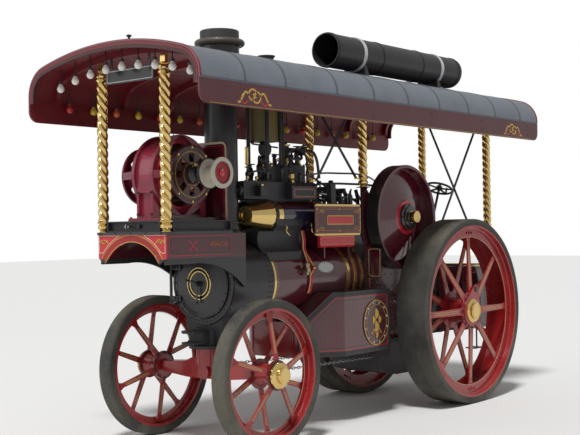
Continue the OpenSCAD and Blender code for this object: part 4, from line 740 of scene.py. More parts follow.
class ENGINE_OT_paint(EngineStep, bpy.types.Operator):
    """Give each solid its paint or metal, with what is painted differently on it"""
    bl_idname = "engine.paint"
    bl_label = "Paint the solids"

    def make(self, scene):
        c = scene.engine_colours
        body, black, brass, dark = c.body, c.black, c.brass, (0.006, 0.006, 0.008)
        polished = dict(metal=1.0, rough=0.16)

        def coat(nodes, name, *regions, like=None, **look):
            if regions:
                look["regions"] = regions
            material = paint(like or name, name, **look)
            for node in nodes.split():
                mesh = NODES[node].data
                if not mesh.materials:
                    mesh.materials.append(material)
                for k in range(len(mesh.materials)):
                    mesh.materials[k] = material

        coat("boiler_barrel tender guards dynamo_panel", "maroon")
        coat("boiler_bands cylinder_covers boiler_fittings column_fittings front_cap_left front_cap_right "
             "rear_cap_left rear_cap_right", "brass")
        coat("smokebox canopy_stays steering_shaft hand_wheel number_plate", BLACK)
        coat("firebox firehole_door ashpan perch_bracket couplings dynamo_bed shaft_bearings steering_barrel "
             "cylinder_block steering_chains", IRON)
        coat("motion_rods crankshaft rear_axle", "steel")
        coat("front_axle", "red")
        coat("oil_boxes", RED)
        coat("boiler_pipes", "pipe copper", over((0.36, 0.31, 0.2), ("y", -0.8, -0.66), rough=0.32),
             like="copper")
        coat("front_tyre_left front_tyre_right", "front rubber",
             over(dark, ("about_x", YA, FRONT_R, 0.63, 0.634)), like="rubber")
        coat("rear_tyre_left rear_tyre_right", "rear rubber",
             over(dark, ("about_x", YR, REAR_R, 1.006, 1.011)), like="rubber")
        coat("front_rim_left front_rim_right", "front wheel red",
             over(tint(c.wheels, 0.5), ("about_x", YA, FRONT_R, 0.12, 0.15)), like="red")
        coat("rear_rim_left rear_rim_right", "rear wheel red",
             over(dark, ("side", 0.917, 0.945), ("about_x", YR + 0.09, REAR_R + 0.245, 0.0, 0.045)),
             like="red")
        dart = "about_y", 0.0, BOILER_Z
        proud = "y", -2.0, SMOKEBOX_Y0 - 0.0465
        coat("smokebox_door", "door black",
             over(brass, (*dart, 0.1095, 0.1595), proud, **polished),
             over(black, (*dart, 0.121, 0.147), proud, metal=0.0, rough=0.34),
             over((0.09, 0.09, 0.095), ("y", -2.2, SMOKEBOX_Y0 - 0.0605), metal=0.7, rough=0.3),
             base=black, rough=0.34, coat=0.2, uneven=0.5, dust=0.2)
        coat("chimney", "chimney black", over((0.075, 0.055, 0.042), ("about_z", 0.0, CHIMNEY_Y, 0.196, 0.3),
                                              ("z", 3.85, 3.93), rough=0.5), over((0.03, 0.03, 0.032),
                                                                                  ("z", 3.93, 4.1),
                                                                                  rough=0.6), base=black,
             rough=0.34, coat=0.2, uneven=0.6, dust=0.25)
        coat("cylinder_cladding", "cladding",
             over(tint(body, 0.8), ("z", CYL_Z + 0.085, 3.0)),
             over(brass, ("y", -1.1, CYL_Y0 + 0.085), **polished),
             base=c.drums, rough=0.16, coat=0.7, uneven=0.3, dust=0.12)
        coat("steam_trunk", "trunk olive", over((0.05, 0.055, 0.065), ("z", 3.7, 4.0), rough=0.5),
             base=(0.13, 0.098, 0.032), rough=0.4, uneven=0.35, dust=0.2)
        coat("motion_plates", "motion plate",
             over(brass, ("side", 0.413, 0.44), ("z", 2.279, 2.31), **polished),
             over(brass, ("side", 0.413, 0.44), ("z", 1.96, 1.995), **polished),
             base=tint(body, 0.8), rough=0.2, coat=0.5, uneven=0.35, dust=0.15)
        coat("hornplates", "side plate", base=tint(body, 0.55), rough=0.26, coat=0.4, dust=0.35)
        # The tank's flat front is painted a brighter red than the maroon sides: painted sunlight on the face
        # turned to the light
        coat("belly_tank", "tank", over(tint(c.wheels, 0.7), ("y", -0.9, TANK_Y0 + 0.012),
                                        ("side", -1.0, 0.3)), over(dark, ("z", TANK_Z1, 1.5), rough=0.5),
             base=tint(body, 0.95), rough=0.17, coat=0.6, uneven=0.3, dust=0.4)
        coat("oval_plates", "oval plates")
        coat("footplate_controls", "footplate brass",
             over((0.03, 0.03, 0.03), ("x", 0.24, 0.4), metal=0.4, rough=0.35),
             base=brass, rough=0.2, metal=1.0, uneven=0.3, dust=0.1)
        shaft = "about_x", YK, CRANK_Z
        coat("flywheel", "flywheel maroon",
             over((0.012, 0.012, 0.013), (*shaft, 0.5865, 0.7), rough=0.4),
             over(c.bright, (*shaft, 0.1515, 0.199), ("x", 0.48, 0.56)),
             over(black, (*shaft, 0.0, 0.1515), rough=0.3),
             over(brass, (*shaft, 0.0, 0.075), ("x", 0.64, 0.7), metal=1.0, rough=0.14),
             base=body, rough=0.12, coat=0.8, uneven=0.25, dust=0.12)
        coat("dynamo_platform", "platform",
             over(c.bright, ("y", -2.8, PLATFORM_Y0 + 0.0135), ("z", 1.0, DECK_Z - 0.02)),
             over((0.022, 0.022, 0.027), ("z", DECK_Z - 0.024, 2.1), rough=0.45),
             # The web plates under the platform's sides are painted near black: painted shade under the
             # platform
             over(dark, ("side", 0.3, 0.4335), ("z", 1.0, 1.795), rough=0.5),
             base=tint(body, 0.75), rough=0.24, coat=0.5, uneven=0.35, dust=0.3)
        axis = "about_x", DYNAMO_Y, DYNAMO_Z
        ring = "x", -0.0405, 0.1705
        coat("dynamo_body", "dynamo maroon",
             over(c.yoke, ring, (*axis, 0.3, 0.349), rough=0.22),
             over(c.yoke, ring, ("z", 2.13, 2.44), rough=0.22),
             over(c.yoke, ("z", 2.13, 2.1665), rough=0.24),
             over(tint(c.wheels, 0.5), ("side", 0.0, 0.21), (*axis, 0.0, 0.3035)),
             over(c.bright, (*axis, 0.303, 0.312), ("x", 0.1, 0.22)),
             over((0.055, 0.016, 0.016), ("x", 0.29, 0.42), rough=0.36),
             over(black, ("x", 0.345, 0.42), rough=0.35),
             base=tint(c.yoke, 0.8), rough=0.28, coat=0.3, uneven=0.4, dust=0.2)
        coat("dynamo_armature", "armature",
             over((0.1, 0.035, 0.02), ("x", -0.035, 0.165), metal=0.4, rough=0.5),
             over((0.45, 0.2, 0.1), ("x", 0.165, 0.295), metal=1.0, rough=0.3),
             over((0.02, 0.02, 0.02), ("x", 0.53, 0.5505), metal=0.0, rough=0.4),
             over((0.5, 0.47, 0.38), ("x", 0.5505, 0.72), metal=0.0, rough=0.35),
             over((0.3, 0.008, 0.012), ("x", 0.699, 0.72), (*axis, 0.0, 0.103), metal=0.0, rough=0.35),
             over(c.yoke, ("x", -0.6, -0.3), metal=0.0, rough=0.3),
             base=(0.3, 0.3, 0.31), rough=0.3, metal=1.0, uneven=0.4, dust=0.1)

        # the roof's skin bends along three axes: one under its middle and one at each shoulder
        middle, left, right = (("about_y", x, z, 0.0) for x, z in (
            (0.0, ROOF_ZC), (SHOULDER_X, ROOF_EDGE_Z), (-SHOULDER_X, ROOF_EDGE_Z)))
        beyond_left, beyond_right = ("x", 0.93, 1.2), ("x", -1.2, -0.93)
        lining_red = dict(rough=0.4, metal=0.0)
        coat("canopy_roof", "roof sheet",
             over(c.inside, (*middle, ROOF_R - 0.006), **lining_red),
             over(c.roof, ("about_y", 0.0, ROOF_ZC, ROOF_R - 0.3, ROOF_R + 0.1), ("side", 0.93, 1.2),
                  ("z", 3.2, 4.0), rough=0.34, metal=0.25),
             over(c.inside, (*left, SHOULDER_R - 0.006), beyond_left, **lining_red),
             over(c.inside, (*right, SHOULDER_R - 0.006), beyond_right, **lining_red),
             over(tint(c.inside, 0.3), (*middle, ROOF_R - 0.0255), ("stripe", "x", 0.115, 0.0, 0.05),
                  ("side", 0.0, 0.92), rough=0.5, metal=0.0),
             base=c.roof, rough=0.3, metal=0.45, uneven=0.7, dust=0.45, dust_colour=(0.035, 0.035, 0.04),
             grain=(24.0, 0.25))
        # The face of the first rib below its outer lip is painted almost black: painted shade under the lip
        # at the roof's front end
        first_rib, depth = ("y", -3.1, -2.95), ROOF_T + 0.012
        coat("canopy_ribs", "rib red",
             *(over(tint(c.inside, 0.28), (*about, r - depth), first_rib, part, rough=0.5)
               for about, r, part in (
                 (middle, ROOF_R, ("side", 0.0, 0.93)), (left, SHOULDER_R, beyond_left),
                 (right, SHOULDER_R, beyond_right))),
             base=c.inside, rough=0.36, coat=0.15, uneven=0.4, dust=0.3)
        coat("canopy_boards", "canopy board")
        coat("stored_chimney", "stored tube", base=(0.018, 0.016, 0.016), rough=0.4, uneven=0.8, dust=0.6,
             dust_colour=(0.05, 0.035, 0.028), grain=(30.0, 0.2))


def strand_tree():
    """Strands wound round each other: each follows a left-hand spiral at an even pitch."""
    if "Twisted strands" in bpy.data.node_groups:
        return bpy.data.node_groups["Twisted strands"]
    f = "NodeSocketFloat"
    tree, i, o = new_group(
        "Twisted strands", [("Geometry", GEOMETRY, None), ("Height", f, 1.0), ("Pitch", f, 0.4),
                            ("Centre Radius", f, 0.025), ("Strand Radius", f, 0.026),
                            ("Strands", "NodeSocketInt", 3), ("Finish", "NodeSocketMaterial", None)],
        [("Geometry", GEOMETRY)], "GeometryNodeTree")
    spiral = out_of(tree, "GeometryNodeCurveSpiral", {
        "Resolution": 18, "Rotations": calc(tree, "DIVIDE", i["Height"], i["Pitch"]), "Reverse": False,
        "Start Radius": i["Centre Radius"], "End Radius": i["Centre Radius"], "Height": i["Height"]})
    bar = out_of(tree, "GeometryNodeCurvePrimitiveCircle", {"Resolution": 12, "Radius": i["Strand Radius"]})
    strand = out_of(tree, "GeometryNodeCurveToMesh", {
        "Curve": spiral, "Profile Curve": bar, "Fill Caps": True})
    count = out_of(tree, "GeometryNodePoints", {
        "Count": i["Strands"], "Position": (0.0, 0.0, 0.0), "Radius": 0.01})
    turn = calc(tree, "MULTIPLY", out_of(tree, "GeometryNodeInputIndex"),
                calc(tree, "DIVIDE", 2 * pi, i["Strands"]))
    wound = out_of(tree, "GeometryNodeInstanceOnPoints", {
        "Points": count, "Instance": strand, "Rotation": out_of(tree, "ShaderNodeCombineXYZ", {"Z": turn})})
    sites = out_of(tree, "GeometryNodeInstanceOnPoints", {"Points": i["Geometry"], "Instance": wound})
    real = out_of(tree, "GeometryNodeRealizeInstances", {"Geometry": sites})
    smooth = out_of(tree, "GeometryNodeSetShadeSmooth", {"Geometry": real})
    feed(tree, o["Geometry"], out_of(tree, "GeometryNodeSetMaterial", {
        "Geometry": smooth, "Material": i["Finish"]}))
    return tree


class ENGINE_OT_columns(EngineStep, bpy.types.Operator):
    """Wind the six brass columns from round strands, in place of the plainer solids"""
    bl_idname = "engine.columns"
    bl_label = "Twisted columns"

    def make(self, scene):
        s = scene.engine_sizes
        sites = ((0.414, YA - 0.962, DECK_Z, 3.54), (0.371, YA + 2.086, 2.5, 3.55),
                 (0.48, YR + 1.18, 1.56, 3.52))
        fitting = 0.094  # height of the turned piece at each end of a column
        made = []
        for k, (x, y, z0, z1) in enumerate(sites):
            feet = [(x, y, z0 + fitting), (-x, y, z0 + fitting)]
            made.append(grow("twisted_columns_%d" % (k + 1), feet, [], strand_tree(), {
                "Height": z1 - z0 - 2 * fitting, "Pitch": s.pitch, "Centre Radius": COLUMN_R - s.strand,
                "Strand Radius": s.strand, "Strands": s.strands, "Finish": paint("brass")}))
            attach(made[-1], "engine")
        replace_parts(made[0], "columns")


def roof_line(y, lift=0.0):
    """Points across the roof's outer surface from edge to edge, and the outward direction at each."""
    lean = atan2(SHOULDER_X, ROOF_EDGE_Z - ROOF_ZC)
    spots = [(-SHOULDER_X, ROOF_EDGE_Z, SHOULDER_R, (pi / 2 - lean) * k / 8 - pi / 2) for k in range(8)]
    spots += [(0.0, ROOF_ZC, ROOF_R, lean * (k / 14 - 1)) for k in range(29)]
    spots += [(SHOULDER_X, ROOF_EDGE_Z, SHOULDER_R, pi / 2 - (pi / 2 - lean) * k / 8)
              for k in reversed(range(8))]
    outs = [Vector((sin(a), 0, cos(a))) for x, z, r, a in spots]
    return [Vector((x, y, z)) + q * (r + lift) for (x, z, r, a), q in zip(spots, outs)], outs


def under_roof(x):
    """Height of the roof's underside at a distance x from the middle."""
    if x < SHOULDER_X:
        return ROOF_ZC + sqrt((ROOF_R - ROOF_T) ** 2 - x * x)
    return ROOF_EDGE_Z + sqrt((SHOULDER_R - ROOF_T) ** 2 - (x - SHOULDER_X) ** 2)


class ENGINE_OT_canopy(EngineStep, bpy.types.Operator):
    """Roof seams, edge beads, scrolls and lines on the boards, lamps, and bands on the stored tube"""
    bl_idname = "engine.canopy"
    bl_label = "Canopy"

    def make(self, scene):
        trim, boards = Shape(), Shape()
        seams = (-2.45, -1.9, -1.13, -0.515, 0.1, 0.715, 1.33, 1.945, 2.56)
        for y in seams:
            trim.line(*roof_line(y), 0.022, "roof lead", lift=0.004)
        for x in (-1.122, 1.122):
            trim.tube([(x, -ROOF_END + 0.004, 3.322), (x, ROOF_END - 0.004, 3.322)], 0.011, "roof lead", 10)
        for y in (-ROOF_END + 0.011, ROOF_END - 0.011):
            trim.tube(roof_line(y, -0.002)[0], 0.011, "canopy edge", 8)
        low, high, r, thick = ROOF_EDGE_Z - 0.23, 3.3085, 0.1, 0.022
        for x in (-CANOPY_W, CANOPY_W):
            face = place, out = on_side(x)
            edge = [(sgn * (ROOF_END - r) + r * cos(a0 + pi * k / 24), low + r + r * sin(a0 + pi * k / 24))
                    for sgn, a0 in ((-1, pi), (1, 1.5 * pi)) for k in range(13)]
            edge += [(ROOF_END, high), (-ROOF_END, high)]
            boards.plate([place(q) - Vector(out) * thick for q in edge], out, thick, "canopy board")
            trim.line([place((y, 3.11)) for y in (-2.9, 2.9)], out, 0.004, "gold")
            for y in (-2.33, 2.37):
                scroll(trim, face, (y, 3.205), 0.195, "gold", 0.011)
        for y in (-0.03, 1.51):
            trim.ring((0.5, y, 3.9), BACK, 0.177, 0.187, 0.0, 0.045, "white band", 48)
        trim.spun([(0, 0), (30, 0), (30, 12), (12, 16), (12, 45), (24, 50), (24, 62), (0, 70)],
                  (0.16, -2.9, 3.724), UP, BLACK, 14)
        trim.build("canopy_trim")
        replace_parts(boards.build("canopy_side_boards"), "canopy_boards")

        bolts = [([(sgn * CANOPY_W, y, z)], (sgn, 0, 0)) for sgn in (-1, 1)
                 for y in (-2.7, -1.62, -0.54, 0.54, 1.62, 2.74) for z in (3.16, 3.262)]
        repeat("canopy_bolts", "stud", bolts, 0.01, 0.005, IRON)
        nails = [roof_line(y + d) for y in seams for d in (-0.022, 0.022)]
        repeat("roof_nails", "rivet", nails, 0.0045, 0.0025, "roof lead", spacing=0.075)
        self.lamps(scene.engine_sizes.bulb)

        plate = Shape()
        lining(plate, oblong(-0.305, 3.408, 0.305, 3.522), across(YA - 0.996),
               (0.006, 0.015, 0.007, "white band"))
        plate.build("plate_border")

    def lamps(self, size):
        """Nine white bulbs across the front and a row of coloured ones along each side."""
        lamps = {"bulb " + tone: [] for tone in ("white", "red", "yellow", "orange")}
        stems = Shape()
        for k in range(9):
            x, y = (k - 4) * 0.215, -2.845
            top = under_roof(abs(x) + 0.011)
            lamps["bulb white"].append(([(x, y, top - 0.155)], UP))
            stems.tube([(x, y, top - 0.112), (x, y, top)], 0.006, BLACK, 8)
        order = ("bulb red", "bulb yellow", "bulb orange", "bulb yellow")
        for x in (-1.06, 1.06):
            for k in range(18):
                y = -2.577 + k * 0.303176
                lamps[order[k % 4]].append(([(x, y, 3.27)], UP))
                stems.tube([(x, y, 3.312), (x, y, under_roof(1.071))], 0.005, BLACK, 6)
        stems.build("lamp_stems")
        made = [repeat("lamps_" + key.split()[1], "bulb", rows, size, size, key)
                for key, rows in lamps.items()]
        repeat("lamp_holders", "holder", sum(lamps.values(), []), size, size, BLACK)
        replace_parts(made[0], "canopy_lamps")


# Each wheel: spokes from r0 at the flange to r1 at the foot; bolts through the rim (steps along it, radius,
# offset across and half the grip), round the hub, the cap, and the rings on its face
WHEELS = {
    "front": SimpleNamespace(
        centre=(FRONT_X, YA, FRONT_R), spokes=10, flange=0.103, foot=0.017, r0=0.102, r1=0.583, start=0.1,
        stripe=0.013, gap=0.0095, rim=((-0.03, 0.03), 0.575, 0.0, 0.009), hub=(0.128, 0.09),
        cap=(0.129, 0.116, 0.018), circle=(0.0075, 0.527), ring=(0.072, 0.06, 0.066),
        rim_nut=(0.0115, 0.009), hub_nut=(0.01, 0.01)),
    "rear": SimpleNamespace(
        centre=(REAR_X, YR, REAR_R), spokes=16, flange=0.135, foot=0.106, r0=0.14, r1=0.938, start=0.13,
        stripe=0.02, gap=0.0135, rim=((-0.055, 0.0, 0.055), 0.905, 0.122, 0.008), hub=(0.196, 0.05),
        cap=(0.161, 0.128, 0.012), circle=(0.1295, 0.858), ring=(0.05, 0.08, 0.088),
        rim_nut=(0.016, 0.012), hub_nut=(0.013, 0.01)),
}


class ENGINE_OT_wheels(EngineStep, bpy.types.Operator):
    """Stripes on the spokes, rim bolts, hub nuts, cap studs and lined rings of the four wheels"""
    bl_idname = "engine.wheels"
    bl_label = "Wheels"

    def make(self, scene):
        for end, w in WHEELS.items():
            for tag in ("left", "right"):
                self.wheel(w, "%s_wheel_%s" % (end, tag), tag == "right")

    def wheel(self, w, body, flip):
        """Dress one wheel, drawn as a left one and mirrored for the right."""
        stripes, rims, hubs = Shape(), [], []
        c = Vector(w.centre)
        for k in range(w.spokes):
            a = 2 * pi * k / w.spokes
            up = Vector((0, -sin(a), cos(a)))
            around = Vector((0, cos(a), sin(a)))
            row = 1 if k % 2 == 0 else -1
            p = Vector((row * w.flange, 0, 0)) + up * w.r0
            q = Vector((row * w.foot, 0, 0)) + up * w.r1
            along = (q - p).normalized()
            for face in (1, -1):
                out = (Vector((face, 0, 0)) - along * along.x * face).normalized()
                lift = out * 0.008
                ends = [p + along * w.start + lift, p + along * (w.r1 - w.r0) * 0.8 + lift]
                stripes.line([c + e for e in ends], out, w.stripe, "tan", lift=0.0008)
                for d in (-w.gap, w.gap):
                    stripes.line([c + e + around * d for e in ends], out, 0.0028, "cream", lift=0.001)
            steps, r, across_rim, grip = w.rim
            for d in steps:
                b = c + up * r + around * d
                rims += [([b + Vector((row * across_rim + way * grip, 0, 0))], (way, 0, 0))
                         for way in (1, -1)]
            hub_r, half = w.hub
            for d in (-half, half):
                b = c + Vector((0, -sin(a + d), cos(a + d))) * hub_r
                hubs += [([b + Vector((way * (w.flange + 0.012), 0, 0))], (way, 0, 0)) for way in (1, -1)]

        x, y, z = w.centre
        cap_x, cap_r, cap_t = w.cap
        studs = each(ring_points((x + cap_x + cap_t, y, z), BACK, UP, cap_r, 8, 22.5), LEFT)
        stripes.line(ring_points((x + w.circle[0], y, z), BACK, UP, w.circle[1], 96), LEFT, 0.004, "cream",
                     lift=0.0008, closed=True)
        stripes.ring((x + cap_x + w.ring[0], y, z), LEFT, w.ring[1], w.ring[2], 0.0, 0.008, "brass", 48)
        stripes.build("wheel_lines_" + body, body, mirror=flip)
        for part, kind, rows, size, key in (
                ("rim_bolts_", "nut", rims, w.rim_nut, "red"), ("hub_bolts_", "nut", hubs, w.hub_nut, IRON),
                ("cap_studs_", "stud", studs, (0.009, 0.007), "brass")):
            if flip:
                rows = [([(-p[0], p[1], p[2]) for p in pts], (-out[0], out[1], out[2])) for pts, out in rows]
            repeat(part + body, kind, rows, *size, key, body)


class ENGINE_OT_boiler(EngineStep, bpy.types.Operator):
    """Rivets, lines and fittings of the smokebox, its door, the barrel, chimney and firebox sides"""
    bl_idname = "engine.boiler"
    bl_label = "Boiler and smokebox"

    def make(self, scene):
        s = scene.engine_sizes
        head = s.rivet, s.rivet * 0.7, BLACK
        rows = []
        for y, r, a0, a1 in ((SMOKEBOX_Y0 + 0.045, 0.4065, 60, 300), (SMOKEBOX_Y1 - 0.035, 0.4005, 45, 315),
                             (SMOKEBOX_Y1 - 0.075, 0.4005, 45, 315)):
            centre = Vector((0, y, BOILER_Z))
            pts = arc(centre, UP, LEFT, r, a0, a1, 61)
            rows.append((pts, [(p - centre).normalized() for p in pts]))
        repeat("smokebox_rivets", "rivet", rows, *head, spacing=s.rivet_gap)
        face = arc((0, SMOKEBOX_Y0, BOILER_Z), UP, LEFT, 0.371, 0, 360, 73)
        repeat("smokebox_ring_rivets", "rivet", [(face, FRONT)], *head, spacing=s.rivet_gap)
        base = arc((0, CHIMNEY_Y, BOILER_Z + SMOKEBOX_R + 0.0565), LEFT, BACK, 0.216, 0, 360, 49)
        repeat("chimney_base_bolts", "nut", [(base, UP)], 0.013, 0.012, BLACK, spacing=0.09)
        seam = [([(sgn * 0.164, CHIMNEY_Y, z) for z in (2.16, 3.6)], (sgn, 0, 0)) for sgn in (1, -1)]
        repeat("chimney_seam", "rivet", seam, 0.006, 0.004, BLACK, spacing=0.05)

        trim = Shape()
        for y, w, key in ((0.018, 0.005, "gold"), (0.046, 0.012, BLACK), (0.068, 0.005, "gold"),
                          (0.15, 0.005, "gold"), (-1.128, 0.005, "gold")):
            trim.ring((0, y, BOILER_Z), BACK, BARREL_R - 0.002, BARREL_R + 0.0012, -w / 2, w / 2, key, 96)
        for y in (-1.202, -0.05, 0.075, 0.2):
            trim.tube([(0.0, y + 0.028, BOILER_Z - 0.372), (0.0, y + 0.028, BOILER_Z - 0.395)], 0.012,
                      "brass", 8)
        # washout plugs on the firebox sides
        for sgn in (-1, 1):
            for y, z in ((0.62, 1.3), (1.3, 1.3), (0.62, 1.8), (1.25, 1.75)):
                trim.spun([(0, 0), (30, 0), (30, 12), (14, 14), (14, 34), (0, 34)], (sgn * HORN_X, y, z),
                          (sgn, 0, 0), "brass", 12)
        # hand wheel of the feed valve beside the barrel
        x, y, z = BARREL_R + 0.036, -0.715, 1.704
        trim.ring((x, y, z), UP, 0.026, 0.034, -0.004, 0.004, BLACK, 24)
        trim.tube([(x, y, 1.68), (x, y, 1.71)], 0.006, "steel", 8)
        trim.tube([(x - 0.03, y, z), (x + 0.03, y, z)], 0.004, BLACK, 6)
        trim.tube([(x, y - 0.03, z), (x, y + 0.03, z)], 0.004, BLACK, 6)
        # drain pipes that run down round the barrel to the tank
        for y, key in ((-0.66, "copper"), (-0.63, RED)):
            trim.pipe([(0.285, y, 2.03), (0.302, y, 1.93), (0.304, y, 1.84), (0.336, y + 0.01, 1.74),
                       (0.369, y + 0.02, 1.64), (0.378, y + 0.02, 1.534), (0.366, y + 0.01, 1.43),
                       (0.352, y, 1.385)], 4, 0.009, key, 8)
        trim.build("boiler_trim")

        stays = [([(sgn * HORN_X, 0.46 + 0.13 * k, z)], (sgn, 0, 0)) for sgn in (-1, 1)
                 for z in (1.00, 1.13, 1.26, 1.39, 1.52, 1.65) for k in range(5)]
        repeat("stay_heads", "rivet", stays, 0.011, 0.006, "side plate heads")

        door = Shape()
        for z in (-0.15, 0.15):
            for x in (-0.33, -0.29):
                door.spun([(0, 0), (13, 0), (13, 6), (9, 11), (0, 12)],
                          (x, SMOKEBOX_Y0 - 0.046, BOILER_Z + z), FRONT, BLACK, 6)
        door.spun([(0, 0), (20, 0), (20, 12), (12, 16), (0, 16)], (0, SMOKEBOX_Y0 - 0.096, BOILER_Z), FRONT,
                  IRON, 20)
        for x, y, z, axis in ((0, 0.082, -0.184, UP), (-0.152, 0.063, 0.0265, LEFT)):
            door.spun([(0, -14), (11, -10), (15, 0), (11, 10), (0, 14)], (x, SMOKEBOX_Y0 - y, BOILER_Z + z),
                      axis, IRON, 14)
        door.build("door_fittings", "smokebox_door")
        studs = ring_points((0, SMOKEBOX_Y0 - 0.0525, BOILER_Z), UP, LEFT, 0.15, 8, 22.5)
        repeat("door_ring_studs", "stud", each(studs, FRONT), 0.006, 0.004, "steel", "smokebox_door")
        clamps = ring_points((0, SMOKEBOX_Y0 - 0.02, BOILER_Z), UP, LEFT, 0.331, 24)
        repeat("door_rim_bolts", "nut", each(clamps, FRONT), 0.01, 0.009, BLACK, "smokebox_door")


def valve(shape, at, r, h, key, wheel=0.0):
    """Upright screw-down valve or cock: flange, body, gland and, where wheel is set, a hand wheel on top."""
    shape.turned([(0, 0), (r, 0), (r, 0.12 * h), (0.55 * r, 0.16 * h), (0.62 * r, 0.36 * h),
                  (0.86 * r, 0.42 * h), (0.86 * r, 0.62 * h), (0.5 * r, 0.68 * h), (0.42 * r, 0.8 * h),
                  (0.2 * r, 0.82 * h), (0.2 * r, h), (0, h)], at, UP, key, 14)
    if wheel:
        top = Vector(at) + Vector((0, 0, h * 0.97))
        shape.ring(top, UP, wheel * 0.82, wheel, -0.005, 0.005, BLACK, 20)
        for way in (Vector((wheel * 0.9, 0, 0)), Vector((0, wheel * 0.9, 0))):
            shape.tube([top - way, top + way], 0.0035, BLACK, 6)


# Screw-down valves, cocks and stands on the chest and the valve casting: foot, radius, height, finish and,
# where there is one, the hand wheel's radius
VALVES = (((-0.13, -0.96, 2.53), 0.034, 0.2, IRON, 0.04), ((0.14, -0.79, 2.53), 0.036, 0.23, IRON, 0.044),
          ((0.155, -1.04, 2.53), 0.03, 0.17, BLACK, 0.036), ((-0.06, -1.3, 2.53), 0.03, 0.13, IRON),
          ((0.09, -1.26, 2.53), 0.034, 0.15, BLACK, 0.034), ((0.225, -0.6, 2.51), 0.026, 0.16, IRON),
          ((0.235, -0.48, 2.51), 0.022, 0.22, BLACK, 0.03), ((0.06, -0.445, 2.72), 0.032, 0.21, IRON, 0.038),
          ((-0.165, -0.72, 2.53), 0.032, 0.26, BLACK, 0.036), ((0.035, -0.645, 2.72), 0.03, 0.25, BLACK),
          ((-0.045, -0.4, 2.72), 0.026, 0.18, IRON, 0.03), ((0.175, -0.7, 2.53), 0.024, 0.31, IRON),
          ((-0.09, -0.83, 2.53), 0.04, 0.3, IRON), ((0.015, -1.00, 2.53), 0.036, 0.28, BLACK),)
# Steam and injector pipes from the chest to the trunk and the barrel: points, radius, finish
PIPES = (
    ([(-0.09, -1.05, 2.52), (-0.09, -1.05, 3.5), (-0.09, -1.03, 3.6)], 0.018, BLACK),
    ([(0.1, -0.7, 2.53), (0.1, -0.72, 3.1), (0.1, -0.73, 3.6)], 0.014, BLACK),
    ([(0.128, -1.000, 2.53), (0.128, -1.000, 3.45)], 0.02, BLACK),
    ([(-0.128, -1.000, 2.53), (-0.128, -1.000, 3.45)], 0.02, BLACK),
    ([(0.128, -0.79, 2.53), (0.128, -0.79, 3.45)], 0.018, BLACK),
    ([(0.02, -0.55, 2.86), (0.16, -0.52, 2.86), (0.22, -0.48, 2.8), (0.22, -0.46, 2.6)], 0.012, BLACK),
    ([(-0.02, -0.45, 2.8), (-0.2, -0.45, 2.8), (-0.25, -0.42, 2.7), (-0.25, -0.41, 2.5)], 0.012, "copper"),
    ([(0.0, -0.24, 2.889), (0.0, -0.1, 2.889), (0.0, -0.02, 2.8), (0.0, 0.02, 2.6)], 0.016, BLACK),
)
# Small pipes and levers between the valves: points, radius
LINKS = (
    ([(0.175, -0.7, 2.78), (0.175, -0.52, 2.78), (0.12, -0.44, 2.82), (0.06, -0.42, 2.86)], 0.014),
    ([(-0.09, -0.83, 2.78), (-0.04, -0.93, 2.8), (0.015, -1.00, 2.76)], 0.016),
    ([(0.14, -0.79, 2.68), (0.2, -0.74, 2.68), (0.225, -0.6, 2.64)], 0.011),
    ([(0.235, -0.48, 2.6), (0.255, -0.4, 2.58), (0.255, -0.2, 2.5), (0.255, 0.05, 2.46)], 0.011),
    ([(-0.165, -0.72, 2.7), (-0.165, -0.5, 2.72), (-0.1, -0.42, 2.78)], 0.012),
    ([(0.09, -1.26, 2.62), (0.13, -1.14, 2.64), (0.155, -1.04, 2.63)], 0.01),
    ([(0.03, -0.72, 2.9), (0.03, -1.12, 2.92)], 0.009), ([(0.1, -0.28, 2.93), (-0.12, -0.28, 2.88)], 0.009),
    ([(0.075, -0.24, 2.96), (0.075, -0.6, 2.87)], 0.008),
)


